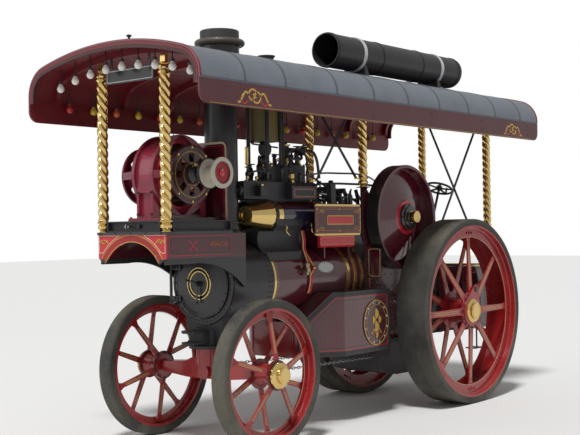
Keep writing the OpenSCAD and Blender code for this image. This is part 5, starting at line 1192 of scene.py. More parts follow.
class ENGINE_OT_cylinders(EngineStep, bpy.types.Operator):
    """Studs, valve gear, pipes, governor, lubricators and lined panels round the cylinders"""
    bl_idname = "engine.cylinders"
    bl_label = "Cylinders and motion"

    def make(self, scene):
        nuts, small = [], []
        for sgn in (-1, 1):
            small += each(ring_points((sgn * CYL_X, CYL_Y0 - 0.034, CYL_Z), UP, LEFT, 0.1548, 20, 9), FRONT)
            nuts += each([(sgn * 0.275, CYL_Y1 - 0.04 - k * 0.085, 2.512) for k in range(5)],
                         (sgn * 0.7, 0, 0.7))
        nuts += each([(x, -1.4 + k * 0.07, CHEST_Z) for k in range(9) for x in (-0.182, 0.182)], UP)
        nuts += each([(x, y, CASTING_Z) for x in (-0.1, 0.1) for y in (-0.69, -0.6, -0.45, -0.375)], UP)
        repeat("chest_nuts", "nut", nuts, 0.012, 0.014, IRON)
        repeat("cover_nuts", "nut", small, 0.0055, 0.007, "steel")

        g = Shape()
        for sgn in (-1, 1):
            self.one_side(g, sgn)
        g.tube([(-0.372, -0.22, 2.47), (0.372, -0.22, 2.47)], 0.024, IRON, 16)
        g.box((-0.31, 0.055, 2.425), (0.31, 0.085, 2.48), IRON)
        self.on_top(g)
        g.build("cylinder_gear")

        m = Shape()
        for sgn in (-1, 1):
            face = place, out = on_side(sgn * PLATE_X)
            lining(m, oblong(-0.6, 2.01, 0.17, 2.264), face, (0.0, 0.03, 0.005, RED),
                   (0.016, 0.03, 0.003, "gold"))
            m.line([place((0.176, z)) for z in (2.000, 2.274)], out, 0.01, "cream", lift=0.004)
            blank = rounded(oblong(-0.415, 2.085, 0.05, 2.185), 0.016)
            m.plate([place(p) for p in blank[::sgn]], out, 0.006, "gold")
            inner = rounded(oblong(-0.403, 2.097, 0.038, 2.173), 0.012)
            m.plate([place(p) + Vector((sgn * 0.006, 0, 0)) for p in inner], out, 0.0015, RED)
            for y in (-0.5, 0.11):
                for z in (2.05, 2.225):
                    scroll(m, face, (y, z), 0.045, "gold", 0.004)
            # box under the plate: a lined edge
            lining(m, oblong(-0.545, 1.882, 0.035, 1.958), on_side(sgn * 0.448), (0.0, 0.012, 0.004, "gold"))
        m.build("motion_lines")
        pegs = [([(sgn * PLATE_X, y, z)], (sgn, 0, 0)) for sgn in (-1, 1)
                for y in (-0.585, -0.2, 0.155) for z in (2.025, 2.25)]
        repeat("motion_plate_nuts", "nut", pegs, 0.01, 0.008, "brass")

        e = Shape()
        for x in (-0.06, 0.06):
            e.ring((x, YK, CRANK_Z), LEFT, 0.052, 0.1, -0.022, 0.022, "steel", 40)
            e.ring((x, YK - 0.02, CRANK_Z + 0.01), LEFT, 0.095, 0.125, -0.015, 0.015, "brass", 40)
        e.ring((0.6, YK, CRANK_Z), LEFT, 0.06, 0.068, -0.006, 0.006, "brass", 40)
        e.build("eccentrics", "crank")
        hub = ring_points((0.573, YK, CRANK_Z), BACK, UP, 0.137, 8)
        repeat("flywheel_hub_bolts", "nut", each(hub, LEFT), 0.013, 0.012, BLACK, "crank")

    def one_side(self, g, sgn):
        """Rings, spindles, valve gear, cocks and lined panel of one cylinder."""
        def here(*points):
            return [(sgn * x, y, z) for x, y, z in points]

        # blank plate's raised edge on the front cover, and a band at each end of the cladding
        for y, r0, r1, h, key, seg in ((CYL_Y0 - 0.341, 0.082, 0.0895, 0.01, "brass", 48),
                                       (CYL_Y0 + 0.085, 0.1495, 0.1525, 0.01, BLACK, 64),
                                       (CYL_Y1 - 0.012, 0.1495, 0.1535, 0.02, "brass", 64)):
            g.ring((sgn * CYL_X, y, CYL_Z), BACK, r0, r1, 0.0, h, key, seg)
        # valve spindle in its guide, rods back to the links, guide bar and lifting bracket
        g.tube(here((0.14, CYL_Y0 - 0.44, 2.442), (0.14, CYL_Y0 - 0.52, 2.442)), 0.014, "steel", 12)
        g.spun([(0, 0), (40, 0), (40, 14), (24, 16), (24, 50), (0, 50)], (sgn * 0.14, CYL_Y0 - 0.449, 2.442),
               FRONT, BLACK, 20)
        for x, z in ((0.075, 2.34), (0.235, 2.36)):
            g.tube(here((x, CYL_Y1, 2.43), (x, 0.4, z)), 0.013, "steel", 10)
        g.box((sgn * 0.155 - 0.1, 0.05, 2.345), (sgn * 0.155 + 0.1, 0.09, 2.425), IRON)
        g.box((sgn * 0.345 - 0.03, -0.26, 2.275), (sgn * 0.345 + 0.03, -0.18, 2.515), IRON)
        for x in (0.075, 0.235):
            # expansion link, its rods to the eccentric, lifting link and arm
            g.pipe(here((x, 0.375, 2.47), (x, 0.405, 2.38), (x, 0.405, 2.28), (x, 0.375, 2.19)), 4, 0.021,
                   IRON, 8)
            for points, r, key in (
                    ([(x, 0.385, 2.45), (0.06 + x * 0.1, 0.775, 2.262)], 0.013, "steel"),
                    ([(x, 0.385, 2.21), (0.06 + x * 0.1, 0.76, 2.15)], 0.013, "steel"),
                    ([(x, -0.22, 2.47), (x, -0.08, 2.545)], 0.015, IRON),
                    ([(x, -0.08, 2.545), (x, -0.02, 2.43)], 0.011, "steel")):
                g.tube(here(*points), r, key, 8)
            g.spun([(0, -18), (22, -18), (22, 18), (0, 18)], (sgn * x, -0.08, 2.545), LEFT, IRON, 12)
        g.spun([(0, 0), (34, 0), (34, 50), (20, 55), (20, 90), (0, 95)], (sgn * 0.335, -0.03, 2.3), UP, IRON,
               14)
        g.spun([(0, 0), (26, 0), (26, 100), (14, 110), (14, 150), (0, 150)], (sgn * 0.345, 0.12, 2.3), UP,
               BLACK, 14)
        g.pipe(here((0.345, 0.12, 2.44), (0.3, 0.2, 2.47), (0.22, 0.27, 2.42)), 4, 0.01, BLACK, 8)
        # drain cocks under the drum
        for y in (-0.92, -0.5):
            g.tube(here((0.292, y, 2.1), (0.3, y, 2.02), (0.32, y + 0.03, 1.98)), 0.007, "brass", 8)
            g.spun([(0, 0), (12, 0), (12, 22), (0, 22)], (sgn * 0.286, y, 2.06), (sgn, 0, 0), "brass", 10)
        # lined panel on the side of the valve chest
        lining(g, oblong(-0.79, 2.365, -0.415, 2.475), on_side(sgn * 0.29), (0.008, 0.02, 0.005, RED),
               (0.02, 0.02, 0.003, "cream"))

    def on_top(self, g):
        """Governor, pipes, safety valves, cocks, lubricators and control rods over the chest."""
        # governor: stand, spindle, three balls on bent springs, cap
        foot = Vector((0.05, -0.93, CHEST_Z))
        g.spun([(0, 0), (50, 0), (50, 20), (26, 35), (20, 100), (12, 105), (12, 235), (26, 240), (26, 260),
                (10, 275), (0, 275)], foot, UP, BLACK, 20)
        for k in range(3):
            a = 2 * pi * k / 3 + 0.4
            d = Vector((cos(a), sin(a), 0))
            g.pipe([foot + d * r + Vector((0, 0, z)) for r, z in ((0.0, 0.115), (0.042, 0.15), (0.052, 0.18),
                                                                  (0.042, 0.21), (0.0, 0.245))], 4, 0.004,
                   "steel", 6)
            g.spun([(0, -22), (12, -18), (22, 0), (12, 18), (0, 22)], foot + d * 0.054 + Vector((0, 0, 0.18)),
                   UP, "brass", 14)
        for points, r, key in PIPES:
            g.pipe(points, 5, r, key, 10)
        # safety valve springs and levers
        for y in (-0.64, -0.44):
            g.spun([(0, 0), (34, 0), (34, 12), (20, 18), (20, 90), (28, 95), (28, 105), (12, 125), (0, 130)],
                   (-0.085, y, CASTING_Z), UP, IRON, 18)
            g.spun([(0, 0), (26, 0), (26, 14), (16, 20), (16, 70), (22, 75), (0, 100)],
                   (0.075, y + 0.02, CASTING_Z), UP, "brass", 18)
        g.tube([(-0.07, -0.7, 2.838), (-0.07, -0.34, 2.838)], 0.007, "steel", 8)
        for row in VALVES:
            valve(g, *row)
        for points, r in LINKS:
            g.pipe(points, 4, r, IRON, 8)
        for x, y, z in ((0.0, -0.245, 2.93), (0.03, -1.12, 2.92), (0.0, -0.55, 2.944), (0.175, -0.7, 2.84)):
            g.spun([(0, -16), (14, -12), (20, 0), (14, 14), (0, 18)], (x, y, z + 0.014), UP, BLACK, 12)
        # mechanical lubricator and small oil cups
        g.box((0.205, -1.28, 2.38), (0.275, -1.17, 2.48), BLACK)
        g.spun([(0, 0), (22, 0), (22, 20), (8, 30), (0, 30)], (0.24, -1.225, 2.48), UP, "brass", 14)
        for at in ((0.15, -1.2, 2.53), (-0.15, -1.2, 2.53), (0.15, -1.34, 2.53), (-0.15, -1.34, 2.53),
                   (0.26, -0.76, 2.5), (0.155, -0.33, 2.335)):
            g.spun([(0, 0), (8, 0), (8, 18), (17, 24), (17, 50), (6, 56), (0, 60)], at, UP, "brass", 12)
        # reversing rod and regulator rod back to the footplate
        g.pipe([(0.3, -0.38, 2.52), (0.3, 0.1, 2.53), (0.305, 0.7, 2.51), (0.3, 1.25, 2.36),
                (0.3, 1.72, 1.95)], 6, 0.012, BLACK, 8)
        g.pipe([(-0.02, -0.3, 2.62), (0.06, 0.2, 2.66), (0.05, 1.00, 2.6), (0.0, 1.46, 2.1)], 6, 0.01,
               "steel", 8)


class ENGINE_OT_dynamo(EngineStep, bpy.types.Operator):
    """Coils, bolts, brush gear, terminals and lined plates of the dynamo and its platform"""
    bl_idname = "engine.dynamo"
    bl_label = "Dynamo and platform"

    def make(self, scene):
        self.machine(Vector((0, DYNAMO_Y, DYNAMO_Z)))
        self.board(self.platform())
        keyed = Shape()
        keyed.ring((0.7005, DYNAMO_Y, DYNAMO_Z), LEFT, 0.1, 0.106, 0.0, 0.0155, "steel", 48)
        keyed.spun([(0, 0), (34, 0), (34, 8), (26, 12), (0, 12)], (0.7, DYNAMO_Y, DYNAMO_Z), LEFT, RED, 24)
        keyed.box((0.7, DYNAMO_Y - 0.006, DYNAMO_Z + 0.02), (0.7145, DYNAMO_Y + 0.006, DYNAMO_Z + 0.036),
                  "steel")
        for k in range(24):
            # gaps between the commutator's bars
            a = 2 * pi * k / 24
            y, z = DYNAMO_Y + 0.1082 * cos(a), DYNAMO_Z + 0.1082 * sin(a)
            keyed.tube([(0.183, y, z), (0.29, y, z)], 0.0014, "dark", 4)
        keyed.build("pulley_trim", "armature")

    def machine(self, centre):
        """Field coils, rings, brushes, terminals and bolts of the dynamo itself."""
        d = Shape()
        x0, x1, w, r0, r1 = -0.052, 0.182, 0.098, 0.222, 0.284
        for k in range(4):
            a = radians(45 + 90 * k)
            out, around = Vector((0, cos(a), sin(a))), Vector((0, -sin(a), cos(a)))
            v = [centre + Vector((x, 0, 0)) + around * y + out * r
                 for r, g in ((r0, 0.92), (r0 + 0.008, 1.0), (r1 - 0.006, 1.0), (r1, 0.95))
                 for x, y in ((x0 * g, -w * g), (x1 * g, -w * g), (x1 * g, w * g), (x0 * g, w * g))]
            f = [(0, 1, 2, 3), (15, 14, 13, 12)]
            f += [(4 * j + i, 4 * (j + 1) + i, 4 * (j + 1) + (i + 1) % 4, 4 * j + (i + 1) % 4)
                  for j in range(3) for i in range(4)]
            d.put(v, f, "coil")
        # red inner edge of the magnet ring on both sides, lines on the shield
        for r0, r1, h0, h1, key, seg in (
                (0.3, 0.318, 0.204, 0.2075, RED, 72), (0.3, 0.318, -0.0775, -0.0735, RED, 72),
                (0.209, 0.214, 0.3275, 0.33, "gold", 64), (0.1, 0.104, 0.3275, 0.33, "gold", 48)):
            d.ring(centre, LEFT, r0, r1, h0, h1, key, seg)
        # brush rods and holders between the shield and the commutator
        for k in range(4):
            a = radians(20 + 90 * k)
            p = centre + Vector((0, cos(a), sin(a))) * 0.145
            d.tube([p + Vector((0.205, 0, 0)), p + Vector((0.316, 0, 0))], 0.009, "brass", 10)
            d.box(p + Vector((0.215, -0.022, -0.022)), p + Vector((0.275, 0.022, 0.022)), "copper")
        # terminal block on the magnet ring, oil cup over each bearing
        d.box((0.02, DYNAMO_Y - 0.055, DYNAMO_Z + 0.343), (0.11, DYNAMO_Y + 0.055, DYNAMO_Z + 0.362), BLACK)
        for y in (-0.03, 0.03):
            d.spun([(0, 0), (10, 0), (10, 15), (6, 17), (6, 28), (0, 30)],
                   (0.065, DYNAMO_Y + y, DYNAMO_Z + 0.362), UP, "brass", 12)
        for x, z in ((0.375, 0.06), (-0.38, 0.066)):
            d.spun([(0, 0), (12, 0), (12, 12), (18, 18), (18, 45), (8, 55), (0, 58)],
                   (x, DYNAMO_Y, DYNAMO_Z + z - 0.006), UP, "brass", 14)
        d.build("dynamo_fittings")
        bolts = []
        for x, r, n, way in ((0.333, 0.2495, 8, LEFT), (-0.33, 0.245, 8, RIGHT), (0.372, 0.074, 6, LEFT)):
            bolts += each(ring_points(centre + Vector((x, 0, 0)), BACK, UP, r, n), way)
        repeat("shield_bolts", "nut", bolts, 0.012, 0.01, "brass")
        feet = each([(x, DYNAMO_Y + sgn * 0.372, DECK_Z + 0.126) for x in (-0.09, 0.05, 0.19, 0.285)
                     for sgn in (-1, 1)], UP)
        feet += [([(x, DYNAMO_Y + sgn * 0.3455, z)], (0, sgn, 0)) for x in (-0.025, 0.155) for sgn in (-1, 1)
                 for z in (2.2, 2.4)]
        repeat("base_bolts", "nut", feet, 0.013, 0.013, BLACK)

    def platform(self):
        """Lines on the platform's front and sides."""
        p = Shape()
        face = place, out = across(PLATFORM_Y0)
        top, inner = 2.008, PLATFORM_W - 0.012

        def curve(r, t):
            return place((r * sin(t), BOILER_Z + r * cos(t)))

        # front plate: two red fields with cream edges, and a band round the arch
        for sgn in (-1, 1):
            a0 = acos((2.012 - BOILER_Z) / 0.5)
            corner = [curve(0.498, sgn * (a0 + 0.02 + (0.86 - a0) * k / 10)) for k in range(11)]
            corner = [q for q in corner if abs(q.x) < PLATFORM_W - 0.016]
            edge = corner + [place(q) for q in ((sgn * inner, corner[-1].z), (sgn * inner, top),
                                                (corner[0].x, top))]
            p.line(edge, out, 0.006, "cream", closed=True)
            scroll(p, face, (sgn * 0.372, 1.955), 0.055, "gold", 0.006, sgn)
        band = [curve(0.45, -0.97 + 1.94 * k / 40) for k in range(41)]
        p.line([q for q in band if abs(q.x) < PLATFORM_W - 0.05], out, 0.06, "red", lift=0.0012)
        for r in (0.419, 0.481):
            pts = [curve(r, -1.0 + 2.0 * k / 40) for k in range(41)]
            p.line([q for q in pts if abs(q.x) < inner and 1.748 < q.z < 2.018], out, 0.007, "gold",
                   lift=0.002)
        for sgn in (-1, 1):
            face = place, out = on_side(sgn * PLATFORM_W)
            lining(p, oblong(-2.735, 1.812, -1.905, 2.008), face, (0.012, 0.02, 0.005, RED),
                   (0.03, 0.02, 0.0035, "green line"))
            for y in (-2.14, -2.02):
                scroll(p, face, (y, 1.925), 0.05, "tan", 0.006)
            for lean in (-1, 1):
                p.line([place((-2.42 + lean * 0.05 * t, 1.91 + 0.045 * t)) for t in (-1.0, 0.0, 1.0)], out,
                       0.007, RED)
        return p

    def board(self, p):
        """Upright panel behind the dynamo, lined on both faces, and small fittings of the deck."""
        q = Shape()
        y0, y1, w, z1 = PLATFORM_Y1 - 0.016, PLATFORM_Y1 - 0.002, 0.395, 2.885
        foot = [(-w, DECK_Z), (w, DECK_Z)]
        top = [e for e in rounded(foot + [(w, z1), (-w, z1)], 0.07) if e[1] > 2.4]
        q.plate([Vector((e[0], y1, e[1])) for e in foot + top], FRONT, 0.014, "maroon")
        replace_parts(q.build("dynamo_board"), "dynamo_panel")
        for y, out in ((y0, FRONT), (y1, BACK)):
            lining(p, oblong(-w, DECK_Z + 0.045, w, z1), across(y, out), (0.012, 0.06, 0.02, "cream"),
                   (0.04, 0.04, 0.005, RED))
        # eye bolt and nut on the front channel
        z = DECK_Z + 0.05
        p.ring((-0.06, PLATFORM_Y0 + 0.004, z), LEFT, 0.014, 0.023, -0.006, 0.006, "steel", 24)
        for x, y, r, key, seg in ((-0.06, 0.022, 0.008, "steel", 10), (0.06, 0.03, 0.016, IRON, 6)):
            p.tube([(x, PLATFORM_Y0 + y, z), (x, PLATFORM_Y0 + 0.058, z)], r, key, seg)
        p.build("platform_lines")
        rows = each([(x, y, DECK_Z) for x in (-0.435, 0.435) for y in (-2.6, -2.45, -2.3, -2.15, -2.0)], UP)
        rows += each([(x, PLATFORM_Y0 - 0.014, DECK_Z - 0.012) for x in (-0.4, -0.2, 0.0, 0.2, 0.4)], FRONT)
        repeat("deck_bolts", "nut", rows, 0.01, 0.008, BLACK)


class ENGINE_OT_tank(EngineStep, bpy.types.Operator):
    """Riveted borders, lines and oval plates of the belly tank"""
    bl_idname = "engine.tank"
    bl_label = "Belly tank"

    def make(self, scene):
        lines, rows, studs, ovals = Shape(), [], [], Shape()
        for sgn in (-1, 1):
            self.borders(lines, rows, sgn)
            self.oval(lines, ovals, sgn)
            y, z = OVAL_CENTRE
            studs += each([(sgn * (TANK_W + 0.01), y + 0.205 * cos(a), z + 0.216 * sin(a))
                           for a in (2 * pi * k / 12 + 0.26 for k in range(12))], (sgn, 0, 0))
        lines.build("tank_lines")
        repeat("tank_rivets", "rivet", rows, 0.0075, 0.005, BLACK, spacing=0.036)
        repeat("oval_studs", "stud", studs, 0.013, 0.009, "steel")
        self.barrel_plate(ovals)

    def borders(self, lines, rows, sgn):
        """Border of a side and of the tapered face ahead of it, open where they meet at the bend."""
        low, high, bend = TANK_Z0, TANK_Z1, -0.39
        place, out = on_side(sgn * TANK_W)
        a, b = Vector((TANK_W, bend, 0)), Vector((0.3825, -0.7447, 0))
        run, length = (b - a).normalized(), (b - a).length

        def put(p):
            q = a + run * p[0]
            return Vector((sgn * q.x, q.y, p[1]))

        lean = (sgn * abs(run.y), -abs(run.x), 0)
        side_edge = oblong(-0.79, low, 0.444, high)
        taper_edge = [(-0.4, low), (length - 0.004, low), (length - 0.004, 1.115), (0.114, high),
                      (-0.4, high)]
        for edge, start, where, normal in ((side_edge, -0.389, place, out), (taper_edge, 0.001, put, lean)):
            for step, r, width, key, lift in ((0.024, 0.0, 0.046, BLACK, 0.0025),
                                              (0.058, 0.03, 0.006, RED, 0.0015),
                                              (0.082, 0.05, 0.003, "green line", 0.0015)):
                loop = inset(edge, step)
                loop = rounded(loop, r) if r else loop
                loop = [(start, low + step)] + [q for q in loop if q[0] > start] + [(start, high - step)]
                lines.line([where(q) for q in loop], normal, width, key, lift=lift)
                if not r:
                    rows.append(([where(q) + Vector(normal) * 0.0025 for q in loop], normal))

    def oval(self, lines, ovals, sgn):
        """Blank oval plate on a side, with generic ornament: a three-lobed leaf over a scroll."""
        y, z = OVAL_CENTRE
        place, out = on_side(sgn * TANK_W)
        oval = [(y + 0.2328 * cos(a), z + 0.245 * sin(a)) for a in (2 * pi * k / 48 for k in range(48))]
        ovals.plate([place(q) for q in oval], out, 0.01, "oval plates")
        face = flat, out = on_side(sgn * (TANK_W + 0.01))
        lining(lines, oval, face, (0.008, 0.0, 0.01, "gold"), (0.052, 0.0, 0.004, "gold"))
        for dy, dz, size in ((0, 0.095, 0.052), (-0.055, 0.03, 0.04), (0.055, 0.03, 0.04), (0, -0.045, 0.058),
                             (0, -0.13, 0.034)):
            leaf = [(y + dy + size * 0.62 * cos(a) * (1 + 0.18 * cos(3 * a)),
                     z + dz + size * sin(a) * (1 + 0.18 * cos(3 * a))) for a in (2 * pi * j / 18
                                                                                 for j in range(18))]
            lines.plate([flat(q) for q in leaf], out, 0.006, "gold")
        scroll(lines, face, (y, z - 0.085), 0.085, "gold", 0.007)

    def barrel_plate(self, ovals):
        """Blank oval plate laid round the near side of the barrel, with its edge line."""
        y0, lean, top, seg = YA + 1.43, 0.308, BARREL_R + 0.0035, 40

        def spot(r, a, along, round_it):
            turn = lean + round_it * sin(a) / BARREL_R
            return r * cos(turn), y0 + along * cos(a), BOILER_Z + r * sin(turn)

        verts, faces, steps = [], [], (0.35, 0.7, 0.97, 1.0)
        for level in (top, BARREL_R - 0.002):
            verts.append((level * cos(lean), y0, BOILER_Z + level * sin(lean)))
            for part in steps:
                r = level - (0.0012 if part == 1.0 and level == top else 0.0)
                verts += [spot(r, 2 * pi * k / seg, 0.14 * part, 0.066 * part) for k in range(seg)]
        half = len(verts) // 2
        around = [(k, (k + 1) % seg) for k in range(seg)]
        for base, flip in ((1, 1), (half + 1, -1)):
            faces += [(base - 1, base + k, base + n)[::flip] for k, n in around]
            for inner in (base + j * seg for j in range(len(steps) - 1)):
                outer = inner + seg
                faces += [(inner + k, outer + k, outer + n, inner + n)[::flip] for k, n in around]
        rim = 1 + (len(steps) - 1) * seg
        faces += [(rim + k, half + rim + k, half + rim + n, rim + n) for k, n in around]
        ovals.put(verts, faces, "pale plate")
        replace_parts(ovals.build("name_ovals"), "oval_plates")
        edge = Shape()
        loop = [Vector(spot(top, 2 * pi * k / seg, 0.131, 0.06)) for k in range(seg)]
        edge.line(loop, [q - Vector((0, q.y, BOILER_Z)) for q in loop], 0.005, BLACK, closed=True)
        edge.build("barrel_plate_edge")


class ENGINE_OT_tender(EngineStep, bpy.types.Operator):
    """Lines, rivets, steps, beading and gauges of the side plates, gear case, tender and footplate"""
    bl_idname = "engine.tender"
    bl_label = "Tender and side plates"

    def make(self, scene):
        t, rows = Shape(), []
        for edge, face in ((oblong(2.245, 0.8, 2.8, 1.54), on_side(-0.5)),
                           (oblong(2.245, 0.8, 2.8, 1.54), on_side(0.5)),
                           (oblong(-0.38, 1.03, 0.38, 1.54), across(2.935, BACK))):
            lining(t, edge, face, (0.045, 0.03, 0.006, RED), (0.065, 0.05, 0.003, "gold"))
            pts = [face[0](q) for q in inset(edge, 0.015)]
            rows.append((pts + [pts[0]], face[1]))
        # beading round the top of the bunker
        r = 0.11
        loop = [(-0.39 - r * sin(a), 2.825 + r * cos(a)) for a in (pi / 2 - k * pi / 16 for k in range(9))]
        loop += [(0.39 + r * sin(a), 2.825 + r * cos(a)) for a in (k * pi / 16 for k in range(9))]
        t.tube([(x, y, 1.56) for x, y in [(-0.5, 2.23)] + loop + [(0.5, 2.23)]], 0.011, "brass", 8)
        # cream line on the plate ahead of the flywheel
        plate_y = YK - sqrt(0.59 ** 2 - (CRANK_Z - 1.83) ** 2) - 0.05
        lining(t, oblong(0.384, 1.515, 0.532, 1.815), across(plate_y), (0.0, 0.03, 0.007, "cream"))
        # near side plate: lined panel under the flywheel
        lining(t, [(0.37, 0.8), (1.24, 0.8), (1.24, 1.78), (0.37, 1.9)], on_side(HORN_X),
               (0.03, 0.04, 0.006, RED), (0.05, 0.05, 0.003, "cream"))
        # gear case outline: round the axle, the middle shaft and the crank
        case, away = on_side(-0.55)
        outline = []
        for y, z, r, a0, a1 in ((YR, REAR_R, 0.43, -125, 70), (1.31, 1.7, 0.256, 40, 70),
                                (YK, CRANK_Z, 0.166, 35, 215)):
            angles = [radians(a0 + (a1 - a0) * k / 14) for k in range(15)]
            outline += [(y + r * cos(a), z + r * sin(a)) for a in angles]
        outline.append((1.31 - 0.24, 1.55))
        t.line([case(q) for q in outline], away, 0.006, "gold", closed=True)
        repeat("case_bolts", "nut", each([case(q) for q in outline[::4]], away), 0.01, 0.008, BLACK)
        # step plates at each side of the footplate, on brackets
        for sgn in (-1, 1):
            t.box((sgn * 0.5 - 0.07, 2.36, 0.54), (sgn * 0.5 + 0.07, 2.56, 0.552), BLACK)
            for y in (2.38, 2.54):
                t.tube([(sgn * 0.488, y, 0.79), (sgn * 0.488, y, 0.545)], 0.01, BLACK, 6)
        # gauge dial: ring, hand and ticks
        g = Vector((0.15, FIREBOX_Y1 + 0.04, BOILER_Z + 0.23))
        t.spun([(0, 0), (58, 0), (58, 2), (0, 2)], g, BACK, "pale plate", 32)
        t.ring(g, BACK, 0.057, 0.067, -0.002, 0.008, "brass", 40)
        for k in range(11):
            a = radians(-130 + 26 * k)
            d, lift = Vector((-sin(a), 0, cos(a))), Vector((0, 0.0022, 0))
            t.tube([g + d * 0.043 + lift, g + d * 0.054 + lift], 0.0012, "dark", 4)
        t.tube([g + Vector((0, 0.004, 0)), g + Vector((0.028, 0.004, 0.03))], 0.002, "dark", 6)
        # corner irons under the tender's sides
        for sgn in (-1, 1):
            t.box((sgn * 0.372 - 0.006, 1.83, 0.79), (sgn * 0.372 + 0.006, 2.2, 0.83), BLACK)
        t.build("tender_trim")
        repeat("tender_rivets", "rivet", rows, 0.0075, 0.005, "maroon", spacing=0.045)
        edges = [([(sgn * HORN_X, y, z) for y, z in edge], (sgn, 0, 0)) for sgn in (-1, 1) for edge in (
            ((0.355, 0.8), (0.355, 1.84), (0.31, 1.97), (0.31, 2.44)), ((0.36, 0.785), (1.42, 0.785)))]
        repeat("side_plate_rivets", "rivet", edges, 0.009, 0.006, "side plate heads", spacing=0.06)

        nut = Shape()
        joint = next(j for j in frame["joints"] if j["name"] == "hand_wheel_turn")
        nut.spun([(0, 20), (34, 20), (34, 30), (20, 36), (14, 50), (0, 52)], joint["pos_m"], joint["axis"],
                 "brass", 24)
        nut.build("hand_wheel_nut", "steering_wheel")


class ENGINE_OT_chains(EngineStep, bpy.types.Operator):
    """Steering chains of separate links, from the barrel to the front axle"""
    bl_idname = "engine.chains"
    bl_label = "Steering chains"

    def make(self, scene):
        made = []
        for sgn, tag in ((-1, "right"), (1, "left")):
            a = Vector((sgn * 0.31, WINDING_Y, WINDING_Z - 0.0827))
            b = Vector((sgn * 0.44, YA + 0.08, FRONT_R - 0.03))
            way = (b - a).normalized()
            side = way.cross(Vector(UP)).normalized()
            n = int((b - a).length / 0.046)
            g = Shape()
            for k in range(n):
                c = a + way * (k + 0.5) * (b - a).length / n
                q = side if k % 2 else way.cross(side)
                ring = [c + way * (0.017 * cos(t) + (0.012 if cos(t) > 0 else -0.012)) + q * 0.0115 * sin(t)
                        for t in (2 * pi * (j + 0.5) / 10 for j in range(10))]
                g.tube(ring, 0.0048, "steel", 5, closed=True)
            obj = g.build("steering_links_" + tag, None)
            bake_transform(obj)
            made.append(obj)
        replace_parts(made[0], "steering_chains")


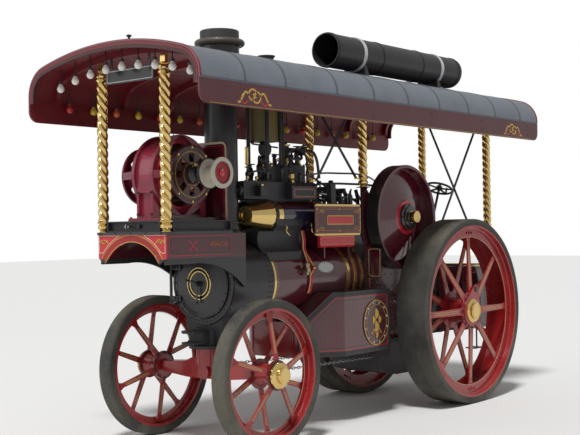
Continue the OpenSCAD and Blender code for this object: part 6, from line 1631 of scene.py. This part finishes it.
class ENGINE_OT_stage(EngineStep, bpy.types.Operator):
    """Floor, world, lamps and the camera at the photograph's place"""
    bl_idname = "engine.stage"
    bl_label = "Stage"

    def make(self, scene):
        mesh = bpy.data.meshes.new("floor")
        mesh.from_pydata([(-60, -60, -0.001), (60, -60, -0.001), (60, 60, -0.001), (-60, 60, -0.001)], [],
                         [(0, 1, 2, 3)])
        floor = bpy.data.objects.new("floor", mesh)
        scene.collection.objects.link(floor)
        mat = bpy.data.materials.new("pale floor")
        mat.use_nodes = True
        shader = next(n for n in mat.node_tree.nodes if n.type == "BSDF_PRINCIPLED")
        shader.inputs["Base Color"].default_value = (0.8, 0.8, 0.79, 1)
        shader.inputs["Roughness"].default_value = 0.9
        mesh.materials.append(mat)

        world = bpy.data.worlds.new("pale sky")
        scene.world = world
        world.use_nodes = True
        tree = world.node_tree
        sky = next(n for n in tree.nodes if n.type == "BACKGROUND")
        rays = add(tree, "ShaderNodeLightPath")
        # the camera sees a bright sky, reflections a dimmer one, and it lights the engine softly
        seen = calc(tree, "MAXIMUM", rays.outputs["Is Camera Ray"],
                    calc(tree, "MULTIPLY", rays.outputs["Is Glossy Ray"], 0.3))
        tree.links.new(calc(tree, "MULTIPLY_ADD", seen, 0.68, 0.32), sky.inputs["Strength"])
        sky.inputs["Color"].default_value = (1, 1, 1, 1)

        def show(name, data):
            obj = bpy.data.objects.new(name, data)
            scene.collection.objects.link(obj)
            return obj

        for name, kind, energy, place, aim, spread, size in (
                ("sun", "SUN", 2.6, (3.0, -6.0, 13.0), (0, 0, 1.5), "angle", radians(9)),
                ("fill", "AREA", 110.0, (-5.0, -9.0, 6.0), (0, 0, 2.0), "size", 6.0)):
            light = bpy.data.lights.new(name, kind)
            light.energy = energy
            setattr(light, spread, size)
            obj = show(name, light)
            obj.location = place
            obj.rotation_euler = (Vector(aim) - Vector(place)).to_track_quat("-Z", "Y").to_euler()

        # the camera's turn, pitch and roll, fitted to the photograph with its lens and place
        a, p, roll = radians(39.378), radians(-0.65), radians(-0.909)
        d = Vector((-sin(a) * cos(p), cos(a) * cos(p), -sin(p)))
        right = Vector((cos(a), sin(a), 0))
        up = right.cross(d)
        turn = Matrix((right * cos(roll) + up * sin(roll), up * cos(roll) - right * sin(roll),
                       -d)).transposed()
        cam = bpy.data.cameras.new("camera")
        cam.sensor_width = 36.0
        cam.lens = 67.963
        cam.clip_end = 200.0
        scene.camera = show("camera", cam)
        scene.camera.matrix_world = Matrix.Translation((7.383, -9.492, 2.038)) @ turn.to_4x4()
        scene.view_settings.view_transform = "Standard"


STEPS = (ENGINE_OT_paint, ENGINE_OT_columns, ENGINE_OT_canopy, ENGINE_OT_wheels, ENGINE_OT_boiler,
         ENGINE_OT_cylinders, ENGINE_OT_dynamo, ENGINE_OT_tank, ENGINE_OT_tender, ENGINE_OT_chains,
         ENGINE_OT_stage)


class ENGINE_PT_panel(bpy.types.Panel):
    """Colours and sizes of the engine, and a button for each group of pieces"""
    bl_idname = "ENGINE_PT_panel"
    bl_label = "Road locomotive"
    bl_space_type = "VIEW_3D"
    bl_region_type = "UI"
    bl_category = "Engine"

    def draw(self, context):
        layout = self.layout
        for group in (context.scene.engine_colours, context.scene.engine_sizes):
            column = layout.column(align=True)
            for name in group.bl_rna.properties.keys():
                if name not in ("rna_type", "name"):
                    column.prop(group, name)
        column = layout.column(align=True)
        for step in STEPS:
            column.operator(step.bl_idname)


CLASSES = (EngineColours, EngineSizes) + STEPS + (ENGINE_PT_panel,)


def register():
    for item in CLASSES:
        bpy.utils.register_class(item)
    bpy.types.Scene.engine_colours = bpy.props.PointerProperty(type=EngineColours)
    bpy.types.Scene.engine_sizes = bpy.props.PointerProperty(type=EngineSizes)


def unregister():
    del bpy.types.Scene.engine_sizes
    del bpy.types.Scene.engine_colours
    for item in reversed(CLASSES):
        bpy.utils.unregister_class(item)


def main():
    register()
    for step in STEPS:
        group, name = step.bl_idname.split(".")
        getattr(getattr(bpy.ops, group), name)()


if __name__ == "__main__":
    main()
